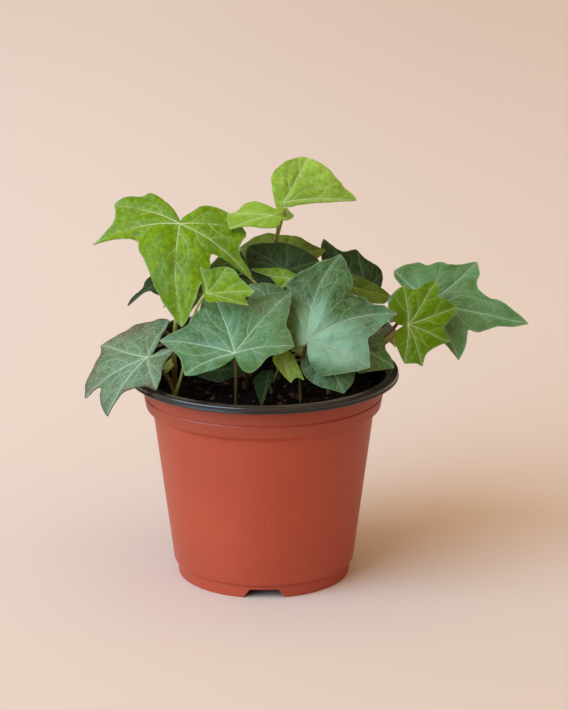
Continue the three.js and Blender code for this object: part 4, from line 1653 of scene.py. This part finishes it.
@dataclass
class Vine:
    """One stem: a tapering tube with a knuckle at each leaf, and its bud."""

    name: str
    radius: float
    points: tuple[Point, ...]
    bud: Bud
    steps: int = 46
    sides: int = 12
    taper: float = 0.35
    knuckle_length: float = 0.025
    knuckle_swell: float = 0.3
    knuckles: list[float] = field(default_factory=list)

    def __post_init__(self) -> None:
        """Draws the stem's curve."""
        self.curve = SmoothCurve(self.points)

    def girth(self, share: float) -> float:
        """The stem's radius in millimetres a share of the way up."""
        swell = sum(bell(share - knuckle, self.knuckle_length) for knuckle in self.knuckles)
        return self.radius * (1 - self.taper * share) * (1 + self.knuckle_swell * min(1.0, swell))

    def build(self, bark: Material, bud_skins: list[Material]) -> bpy.types.Object:
        """Makes the stem.

        Args:
            bark: The stem's material.
            bud_skins: The bud's upper side, underside, stalk and veins.

        Returns:
            The stem's piece.
        """
        bm = blade_mesh()
        shares = [i / self.steps for i in range(self.steps + 1)]
        path = [place(*self.curve.point(share)) for share in shares]
        sweep(bm, [Tube(path, [self.girth(share) * MM for share in shares])], self.sides, 0)
        tip = self.curve.point(self.bud.along)
        facing = Facing.of(self.bud.face, self.bud.aim)
        Blade(tuple(tip), facing, young(self.bud.size), steps=4, rings=8, quilting=0.15, groove=0.1,
              waviness=0.2, seed=self.radius, tone=0.3).add_to(bm, upper=1, under=2, veins=3)
        upper, under, _, veins = bud_skins
        return make_piece(self.name + "_vine", bm, [bark, upper, under, veins], (self.name,))


VINES = (
    Vine("stem_crown", 1.3, ((7, 16, 68), (7, 16, 92), (8, 17, 118), (5, 14, 143), (9, 10, 163)),
         Bud(0.97, (10, 62), 25, 8)),
    Vine("stem_left", 1.3, ((-39, -10, 68), (-39, -10, 90), (-39, -4, 110), (-36, 6, 134)),
         Bud(1, (-40, 40), 20, 9)),
    Vine("stem_left_low", 1.2, ((-38, -22, 68), (-38, -22, 84), (-40, -20, 91), (-43, -16, 98)),
         Bud(1, (-60, 40), -20, 7)),
    Vine("stem_front", 1.1, ((4, -8, 68), (4, -8, 88), (8, -12, 98), (16, -15, 106)),
         Bud(1, (20, 50), 60, 7)),
    Vine("stem_middle", 1.2, ((-8, 2, 68), (-8, 2, 90), (-4, 0, 108), (2, -2, 124)),
         Bud(1, (-20, 50), -30, 8)),
    Vine("stem_right", 1.5, ((30, -4, 68), (30, -4, 88), (42, 0, 97), (58, 6, 107)),
         Bud(1, (170, 45), 180, 8)),
    Vine("stem_back_left", 1.4, ((-20, 22, 68), (-20, 22, 90), (-22, 27, 106), (-22, 32, 120)),
         Bud(1, (-170, 50), 200, 9)),
    Vine("stem_back_right", 1.4, ((22, 24, 68), (22, 24, 90), (27, 28, 104), (31, 31, 118)),
         Bud(1, (170, 50), 195, 8)),
)
VINE_OF = {vine.name: vine for vine in VINES}
SOIL_ROOT = 68.0


# ---------------------------------------------------------------- leaves


@dataclass
class Leaf:
    """One leaf: its blade, and the stalk that carries it from a stem or from the soil.

    face is the compass turn of the upper side from the camera side towards the right, and its tilt
    up from the horizon. aim is the clock turn of the middle lobe from uphill. seat is the stem that
    carries the leaf and how far up it, or a place in the soil. paler shifts the tone, and the rest is
    as the blade takes it, with quilting, groove and waviness as shares of the leaf's size.
    """

    name: str
    at: Point
    face: Pair
    aim: float
    tone: LeafTone
    seat: tuple
    edge: Edge
    forks: tuple[tuple[int, int, float], ...] = ()
    # The sheen values paint sheen: a pale bluish haze in the colour that stands in for reflected light.
    painted_sheen: float = 0.04
    painted_sheen_turn: float | None = None
    bows: dict[int, float] = field(default_factory=dict)
    boldness: float = 0.85
    paler: float = 0.0
    stalk_steps: int = 26
    stalk_sunk: float = 0.25
    stalk_leave: Pair = (0.6, 0.8)
    stalk_lean: float = 0.7
    stalk_pull: float = 0.36
    stalk_girth: float = 0.72
    foot_swell: float = 0.45
    neck_swell: float = 0.25
    outline_points: int = 130
    large_from: float = 24.0
    large_rings: int = 34
    small_rings: int = 20
    quilting: float = 0.032
    groove: float = 0.008
    waviness: float = 0.022
    tone_spread: float = 0.28

    def stalk_path(self, facing: Facing) -> list[Vector]:
        """The stalk's centre line, from under the blade to its seat.

        Args:
            facing: The blade's own axes.

        Returns:
            Points in millimetres.
        """
        start = Vector(self.at) - facing.normal * self.stalk_sunk
        back, down = self.stalk_leave
        leave = -back * facing.middle - down * facing.normal
        carrier, *spot = self.seat
        if carrier == "soil":
            foot, rise = Vector((*spot, SOIL_ROOT)), Vector((0, 0, 1))
        else:
            curve = VINE_OF[carrier].curve
            foot, along = curve.point(spot[0]), curve.tangent(spot[0])
            out = start - foot
            rise = ((out - along * out.dot(along)).normalized() + self.stalk_lean * along).normalized()
        reach = self.stalk_pull * (start - foot).length
        bow, lean = start + leave * reach, foot + rise * reach
        return [bezier(start, bow, lean, foot, k / self.stalk_steps) for k in range(self.stalk_steps + 1)]

    def stalk_radius(self, share: float) -> float:
        """The stalk's radius in millimetres, a share of the way from the blade down to its seat."""
        neck, foot = 1 - smooth_step(share, 0, 0.12), smooth_step(share, 0.85, 1.0)
        return self.stalk_girth + self.foot_swell * foot + self.neck_swell * neck

    def build(self, number: int, skins: list[Material]) -> bpy.types.Object:
        """Makes the leaf.

        Args:
            number: The leaf's number, which varies its waves.
            skins: Its upper side, underside, stalk and veins.

        Returns:
            The leaf's piece.
        """
        bm = blade_mesh()
        facing = Facing.of(self.face, self.aim)
        path = [place(*point) for point in self.stalk_path(facing)]
        radii = [self.stalk_radius(k / self.stalk_steps) * MM for k in range(self.stalk_steps + 1)]
        sweep(bm, [Tube(path, radii)], 10, 2)
        size = max(point[1] for point in self.edge)
        Blade(
            self.at, facing, self.edge, self.forks, self.bows,
            steps=max(3, round(self.outline_points / len(self.edge))),
            rings=self.large_rings if size > self.large_from else self.small_rings,
            quilting=self.quilting * size, groove=self.groove * size, waviness=self.waviness * size,
            seed=number * 1.7, tone=self.tone_spread * math.sin(number * 2.4) + self.paler,
            painted_sheen=self.painted_sheen, painted_sheen_turn=self.painted_sheen_turn, boldness=self.boldness,
        ).add_to(bm)
        name = self.name.replace("leaf_", "ivy_leaf_")
        return make_piece(name, bm, skins, (self.name,))


DARK, BRIGHT, YOUNG, GREY, SHADE, OLIVE = LeafTone

LEAVES = (
    Leaf("leaf_left_bright", (-36, -6, 161), (-12, 38), 180, BRIGHT, ("stem_left", 0.93), (
        (-166, 3.5), (-145, 7.5), (-133, 13.5), (-120, 18), (-107, 22.5), (-90, 28.5, -5), (-82, 28.5),
        (-74, 28), (-66, 30.5), (-61.5, 36), (-58, 39, -9), (-56.5, 32), (-55.5, 25), (-53, 20.4),
        (-49, 19.7), (-38, 25.3), (-23, 31), (-12, 41), (-7, 45.5, -8), (-2, 41), (10, 33), (26, 25),
        (39, 22), (56, 21), (65, 20), (72, 23.5), (76, 31), (79, 41, -9), (86, 33.5), (93, 31.4),
        (102, 31.8), (107, 34.5, -7), (113, 32.3), (120, 28.3), (125, 23.8), (135, 21), (142, 14),
        (152, 7)), painted_sheen=0, boldness=0.75,
        bows={0: -0.06, 1: -0.08, 2: 0.06, 3: 0.08, 4: 0.06}),
    Leaf("leaf_front_left", (-12, -46, 114), (-8, 40), 0, DARK, ("soil", -12, -24), (
        (-157, 4.2), (-142, 8.6), (-126, 14), (-119, 20.5), (-113, 23.5, -3), (-104, 23.3),
        (-94, 24.2), (-83, 30.5), (-79, 34.5, -5), (-74, 31.5), (-69, 28.5), (-60, 25.4), (-54, 25.8),
        (-46, 26), (-41, 26), (-36, 28.5), (-31, 32), (-23, 36.2, -2), (-8, 29), (4, 25.5), (18, 29.3),
        (26, 33), (34, 38, -3), (39, 33.6), (47, 28.5), (54, 25.4), (62, 25.2), (76, 25.5, -3), (86, 19.8),
        (91, 15.4), (105, 13.1), (125, 12.1), (141, 11.2), (153, 8.6), (162, 4.4)), painted_sheen=0.2,
        painted_sheen_turn=50, bows={0: 0.06, 1: 0.04}),
    Leaf("leaf_front_right", (19, -34, 116), (8, 34), 25, DARK, ("soil", 17, -20), (
        (-172, 3), (-157, 6), (-148, 8.6), (-120, 9.2), (-93, 9.8), (-80, 11), (-55, 14.8), (-44, 20),
        (-42, 24), (-40, 28, -1), (-28, 31), (-17, 34.3), (-8, 38.2), (-1, 42.8, 0), (4, 40.5),
        (8, 37.5), (13, 35.2), (17.5, 31), (18.5, 28.4), (22, 29.6), (29, 32.6), (37, 35), (42, 39),
        (48, 43, -5), (51, 38.5), (54, 34), (59, 30), (64.5, 26.4), (73, 26.4), (82, 28),
        (89, 28.8, -4), (97, 25.8), (108, 21.2), (124, 18), (139, 15.8), (148, 12.8), (159, 8)),
        forks=((0, 1, 0.33),), painted_sheen=1.0, painted_sheen_turn=115, bows={1: -0.12, 2: -0.11, 3: -0.08}),
    Leaf("leaf_left_low", (-50, -24, 106), (-30, 52), -135, GREY, ("stem_left_low", 0.8), (
        (-178, 8.5), (-168, 12.2, -1), (-148, 10), (-124, 9.2), (-94, 13.4), (-80, 16.5, -3),
        (-65, 14.6), (-45, 15), (-30, 17.5), (-24, 21), (-20.5, 25.5), (-18, 29, -12), (-10, 28),
        (2, 26), (9, 25), (11, 29), (12.5, 32.5), (14, 34.8, -14), (20, 33), (30, 31), (38, 28.5),
        (47, 27), (56, 30.5, -6), (64, 25.5), (77, 22.5), (93, 22), (110, 20.8), (124, 21.6),
        (134, 22, -1), (138, 18.5), (142, 13), (150, 7)), painted_sheen=0.08),
    Leaf("leaf_right_far", (72, 6, 122), (6, 44), 100, DARK, ("stem_right", 0.86), (
        (-170, 6), (-155, 10), (-146, 14), (-142, 18.5), (-135, 21.8, -2), (-122, 21.5), (-104, 21.3),
        (-91, 19.8), (-77, 22.3), (-66, 23), (-57, 27), (-49, 33.5, -2), (-44, 31), (-38, 28.8),
        (-33, 26.1), (-19, 26.8), (-12, 33.5), (-5, 40), (1, 47, -6), (4.5, 41.5), (9, 33.5),
        (17, 28.7), (22.5, 25.6), (25, 22), (32, 23.5), (44, 26.4), (53, 28.5, -7), (57, 24),
        (62, 20.3), (75, 17.5), (92, 16.5), (110, 18, -2), (140, 11)), painted_sheen=0.14, paler=0.9),
    Leaf("leaf_right_bright", (63, -12, 117), (4, 34), 80, BRIGHT, ("stem_right", 0.62), (
        (-161, 5.3), (-140, 8), (-122, 11.3), (-109, 13.4), (-95, 16), (-82, 19, -1), (-72, 17.6),
        (-63, 17.6), (-54, 21.8), (-45, 25.2, -2), (-38, 22.3), (-32, 19.4), (-21, 21.5),
        (-11, 24.4, -3), (-2, 21), (6, 17.9), (15, 16), (24, 17.8), (30, 20, -4), (41, 16.5),
        (61, 14.6), (73, 15.6), (82, 18.8, -4), (91, 16.9), (107, 17, -3), (121, 12.6), (144, 8.6),
        (163, 5.2)), painted_sheen=0, boldness=0.45, paler=-0.4),
    Leaf("leaf_small_folded", (-24, -37, 138), (-10, 30), 75, BRIGHT, ("stem_left_low", 0.5), (
        (-93, 12.5, 1), (-78, 10.2), (-59, 11.4), (-40, 14.2, 2), (-28, 15.2), (-13, 15.5), (1, 17.6),
        (11, 21, 2), (17, 19), (20, 17), (28, 19.3, -1), (31, 14.9), (36, 9.5), (60, 5), (90, 4)),
        painted_sheen=0, boldness=0.5, paler=-0.3),
    Leaf("leaf_crown_top", (9, 8, 167), (12, 38), 40, YOUNG, ("stem_crown", 1), (
        (-165, 4), (-120, 4), (-90, 5.5), (-67, 9.8), (-55, 13.7), (-40, 17.7), (-26, 22), (-16, 25.1),
        (-8, 27.3, -3), (2, 27.8), (14, 28.6), (23, 29.1), (28, 29.3), (36, 31), (46, 35, -6),
        (47.5, 29), (49, 22), (51, 14), (60, 6), (90, 3)), painted_sheen=0.02, boldness=0.6, paler=0.15),
    Leaf("leaf_crown_left", (4.3, -6, 164.7), (12, 58), -85, YOUNG, ("stem_crown", 0.8), (
        (-165, 5), (-129, 4.8), (-95, 7.1), (-59, 8.6), (-32, 12), (-22, 15.5), (-17, 20.4, -3),
        (-5, 20), (8, 19.8, -2), (12, 16), (32, 13.8), (48, 11.5), (56, 10), (66, 7.4), (78, 5.6),
        (97, 4), (115, 4.2), (133, 7), (158, 5)), painted_sheen=0, boldness=0.5, paler=-0.75),
    Leaf("leaf_under_right", (26, -31, 109), (14, 40), 170, DARK, ("stem_front", 0.8), (
        (-140, 5), (-72, 11), (-56, 15, -2), (-31, 17), (-10, 19, -3), (12, 15), (38, 13, -3),
        (65, 12), (90, 10), (130, 5))),
    # Its paler tone is painted light: it lifts a leaf that sits in the other leaves' shade.
    Leaf("leaf_right_under", (39, -22, 111), (20, 42), 115, DARK, ("stem_right", 0.4), (
        (-130, 6), (-95, 7.5), (-62, 12), (-47, 14, -1), (-38, 15), (-25, 15.2), (-12, 15), (-3, 17.7),
        (8, 21, -4), (20, 17.5), (36, 14.6), (66, 13, -2), (98, 9), (140, 5)),
        painted_sheen=0, paler=0.5),
    Leaf("leaf_behind_bright", (60, -3, 121), (0, 40), -20, DARK, ("stem_right", 0.78), (
        (-160, 4), (-118, 7, -1), (-73, 5), (-20, 8, -1), (22, 12, -1), (64, 8), (120, 5, -1),
        (160, 4))),
    Leaf("leaf_back_right", (46, 30, 121), (10, 30), -10, SHADE, ("stem_back_right", 0.9), (
        (-140, 8), (-75, 12, -2), (-42, 22), (-30, 27.5), (-24, 30.5), (-21, 31.5, -3), (-19, 26.7),
        (-16, 23), (-11, 21), (1, 20.8), (7, 20.4, -3), (15, 17), (35, 14.7), (54, 13.6, -3), (66, 11),
        (88, 7.7), (140, 6))),
    Leaf("leaf_back_olive", (39, 16, 127), (0, 30), 110, OLIVE, ("stem_back_right", 0.7), (
        (-150, 4), (-105, 5.5), (-70, 6), (-42, 8), (-19, 13.7), (-7, 19, -2), (6, 16.9), (12, 14.5),
        (21, 11.7), (40, 9), (99, 6), (150, 4))),
    Leaf("leaf_crown_front_dark", (10, -4, 139), (-5, 28), 0, SHADE, ("stem_middle", 0.9), (
        (-140, 7), (-110, 12), (-99, 14.5), (-83, 16.8), (-71, 19.2, -3), (-58, 21.5, -3), (-50, 20),
        (-35, 16.4), (-2, 13.6, -2), (20, 12.8), (37, 13.1), (55, 14.5), (68, 15.5, -4), (79, 14),
        (100, 10), (140, 7))),
    Leaf("leaf_crown_back_dark", (10, 26, 138), (0, 40), 0, OLIVE, ("stem_crown", 0.7), (
        (-150, 7), (-105, 14), (-73, 22, -4), (-63, 19.8), (-51, 18.5), (-38, 16.8), (-28, 15.3),
        (-14, 13), (-4, 12.4), (12, 12.8, -3), (27, 13), (49, 13.2), (61, 15), (72, 19, -4), (82, 16),
        (110, 11), (150, 7))),
    Leaf("leaf_crown_small", (12, -9, 137), (-10, 35), -90, BRIGHT, ("stem_middle", 0.7), (
        (-150, 3), (-90, 2.5), (-60, 4), (-44, 6.2, -1), (-26, 6.6), (-7, 7.5), (5, 9.5), (10, 13),
        (13.5, 19.3, -2), (17, 16.5), (21, 13.3), (28, 10.3), (44, 7.2), (64, 4.6), (100, 3), (135, 3)),
        painted_sheen=0, boldness=0.6, paler=-0.2),
    Leaf("leaf_middle_teal", (6, -21, 129), (-6, 26), -15, DARK, ("stem_front", 0.7), (
        (-140, 8), (-90, 12, -2), (-60, 13), (-40, 15.8, -2), (-35, 14.2), (-18, 11.4), (1, 9.3),
        (28, 7.8), (54, 7, -2), (100, 7), (145, 6))),
    Leaf("leaf_left_back_small", (-48.5, 14, 128.4), (-20, 40), -125, SHADE, ("stem_left", 0.8), (
        (-150, 9), (-110, 8), (-86, 5.2), (-60, 3.6), (-35, 3), (-14, 4.2), (-8, 6.4), (-7.5, 9),
        (-6.5, 12), (-4.5, 15.4, -4), (0, 13), (3.5, 10.3), (7, 7), (17, 5.2), (49, 4.8), (79, 4.8),
        (100, 5), (130, 7), (155, 9))),
    Leaf("leaf_low_yellow", (8, -30, 108), (0, 30), 165, YOUNG, ("stem_front", 0.72), (
        (-110, 4), (-46, 8), (-29, 14, -2), (-18, 11), (-4, 12, -2), (30, 6), (100, 4)),
        painted_sheen=0, boldness=0.6),
    Leaf("leaf_low_shaded", (-15, -8, 96), (0, 60), 170, SHADE, ("stem_middle", 0.3), (
        (-150, 5), (-90, 8), (-35, 7), (-10, 5.5), (19, 7), (38, 9), (60, 10.5), (82, 13.5),
        (96, 17, -1), (110, 14), (140, 8))),
    Leaf("leaf_low_hanging", (2, -32, 100), (0, 22), 180, SHADE, ("stem_front", 0.34), (
        (-150, 3), (-60, 3), (-20, 3.4), (1, 6), (8.5, 10.3), (12, 13.8, -1), (23, 10.6), (36, 8.6),
        (50, 7.5), (75, 6.5), (100, 4), (140, 3))),
    Leaf("leaf_middle_back", (-16, 3, 115), (-10, 65), -25, DARK, ("stem_middle", 0.55), mature(22)),
    Leaf("leaf_middle_right", (24, 3, 118), (25, 60), 20, DARK, ("stem_back_right", 0.5), mature(22)),
    Leaf("leaf_back_upper", (-23, 28, 126), (-155, 62), 178, DARK, ("stem_back_left", 0.86), mature(30, 0.2)),
    Leaf("leaf_back_middle", (3, 43, 123), (176, 52), 182, DARK, ("stem_crown", 0.42), mature(34, 0.18)),
    Leaf("leaf_back_corner", (42, 42, 110), (146, 50), 180, DARK, ("stem_back_right", 0.85),
         mature(29, 0.18)),
    Leaf("leaf_back_low_left", (-37, 43, 102), (-148, 44), 184, DARK, ("stem_back_left", 0.62),
         mature(30, 0.2)),
    Leaf("leaf_back_low_middle", (-3, 56, 103), (-176, 46), 178, DARK, ("stem_back_left", 0.4),
         mature(31, 0.2)),
    Leaf("leaf_back_low_right", (32, 54, 98), (155, 42), 180, GREY, ("stem_back_right", 0.62),
         mature(27, 0.2)),
    Leaf("leaf_side_left", (-46, 22, 106), (-125, 48), 184, GREY, ("stem_left", 0.45), mature(27, 0.2)),
    Leaf("leaf_side_right", (54, 21, 108), (125, 50), 178, DARK, ("stem_right", 0.7), mature(24, 0.18)),
    Leaf("leaf_back_young", (-13, 42, 134), (-165, 48), 190, BRIGHT, ("stem_crown", 0.48), young(22, 0.2)),
    Leaf("leaf_back_bright", (15, 44, 132), (170, 46), 172, BRIGHT, ("stem_crown", 0.6), young(22, 0.2)),
)


@dataclass
class IvyPlant:
    """All the stems and leaves."""

    finish: BarkFinish = BarkFinish()

    def build(self) -> list[bpy.types.Object]:
        """Makes every stem and leaf.

        Returns:
            Their pieces.
        """
        skins = {tone: tone.value.dress() for tone in LeafTone}
        bark = self.finish.bark()
        for leaf in LEAVES:
            if leaf.seat[0] in VINE_OF:
                VINE_OF[leaf.seat[0]].knuckles.append(leaf.seat[1])
        pieces = [vine.build(bark, skins[LeafTone.YOUNG]) for vine in VINES]
        return pieces + [leaf.build(i, skins[leaf.tone]) for i, leaf in enumerate(LEAVES)]


# ---------------------------------------------------------------- studio


@dataclass(frozen=True)
class Lamp:
    """One far, soft lamp.

    turn is its compass turn from the camera side to the right, height its height above the horizon
    and softness its width as seen from the plant, all in degrees.
    """

    name: str
    turn: float
    height: float
    softness: float
    strength: float
    colour: tuple[float, float, float]

    def hang(self) -> None:
        """Adds the lamp to the scene."""
        data = bpy.data.lights.new(self.name, "SUN")
        data.angle, data.energy, data.color = math.radians(self.softness), self.strength, self.colour
        lamp, towards = put(self.name, data), compass(self.turn, self.height)
        lamp.location = AXIS + towards * 2
        lamp.rotation_euler = towards.to_track_quat("Z", "Y").to_euler()


@dataclass
class Studio:
    """The pale floor, the soft lights and the camera.

    The floor has its own colour at brightest, in metres behind the plant. Away from there it takes painted
    light falloff: the far darkening by far_end and a share of it by near_end, and the right darkening across
    fade_width to either side.
    """

    camera_height: float = 417.0
    camera_distance: float = 1100.0
    aim: Point = (9.1, 0, 100.1)
    lens: float = 131.2
    sensor: float = 36.0
    clip: Pair = (0.05, 50.0)
    floor_colour: Colour = srgb(231, 216, 203)
    # Painted light falloff: the floor's colour darkens to the right, far off and close by.
    right_painted_falloff: Colour = (0.905, 0.85, 0.79, 1)
    far_painted_falloff: Colour = (0.90, 0.865, 0.85, 1)
    fade_width: float = 0.3
    brightest: float = 0.35
    far_end: float = 1.9
    near_end: float = -0.25
    near_painted_falloff: float = 0.3
    floor_roughness: float = 0.9
    floor_reach: float = 6.0
    lamps: tuple[Lamp, ...] = (
        Lamp("window", turn=-54, height=29, softness=58, strength=4.0, colour=(0.43, 0.70, 1.0)),
        Lamp("room", turn=-60, height=77, softness=120, strength=2.04, colour=(1.0, 0.70, 0.45)),
    )
    sky: Colour = (1.0, 0.80, 0.62, 1)
    sky_strength: float = 0.18

    def camera(self) -> None:
        """The camera at the photograph's height and distance."""
        data = bpy.data.cameras.new("photo camera")
        data.lens, data.sensor_width, data.sensor_fit = self.lens, self.sensor, "AUTO"
        data.clip_start, data.clip_end = self.clip
        camera = put("photo camera", data)
        camera.location = place(0, -self.camera_distance, self.camera_height)
        camera.rotation_euler = (place(*self.aim) - camera.location).to_track_quat("-Z", "Y").to_euler()
        bpy.context.scene.camera = camera

    def floor(self) -> None:
        """The seamless floor, which also fills the background, with painted light falloff: darker to the
        right, far off and close by.
        """
        w = Coat("studio floor")
        spot = w.apart()
        # Painted light falloff across the floor, by its own position.
        aside = w.rise(spot[0], -self.fade_width, self.fade_width)
        far = w.rise(spot[1], self.brightest, self.far_end)
        near = w.rise(spot[1], self.near_end, self.brightest, self.near_painted_falloff, 0.0)
        colour = w.blend(aside, self.floor_colour, self.right_painted_falloff, "MULTIPLY")
        colour = w.blend(w.sum("MAXIMUM", far, near), colour, self.far_painted_falloff, "MULTIPLY")
        w.feed(w.shader["Base Color"], colour)
        w.shader["Roughness"].default_value = self.floor_roughness
        bm = bmesh.new()
        bmesh.ops.create_grid(bm, x_segments=8, y_segments=8, size=self.floor_reach)
        floor = put("floor", as_mesh("floor", bm))
        floor.data.materials.append(w.material)

    def build(self) -> None:
        """Sets the stage."""
        self.camera()
        self.floor()
        for lamp in self.lamps:
            lamp.hang()
        world = bpy.data.worlds.new("studio")
        world.use_nodes = True
        sky = world.node_tree.nodes["Background"].inputs
        sky[0].default_value, sky[1].default_value = self.sky, self.sky_strength
        bpy.context.scene.world = world
        bpy.context.scene.view_settings.view_transform = "Standard"


def write_sizes() -> None:
    """Brings the view layer up to date."""
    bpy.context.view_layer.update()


def main() -> None:
    """Builds the stage, the pot, the soil and the plant, and reports each piece."""
    for part in (Studio(), GrowersPot(), PottingSoil(), IvyPlant()):
        part.build()
    write_sizes()


if __name__ == "__main__":
    main()
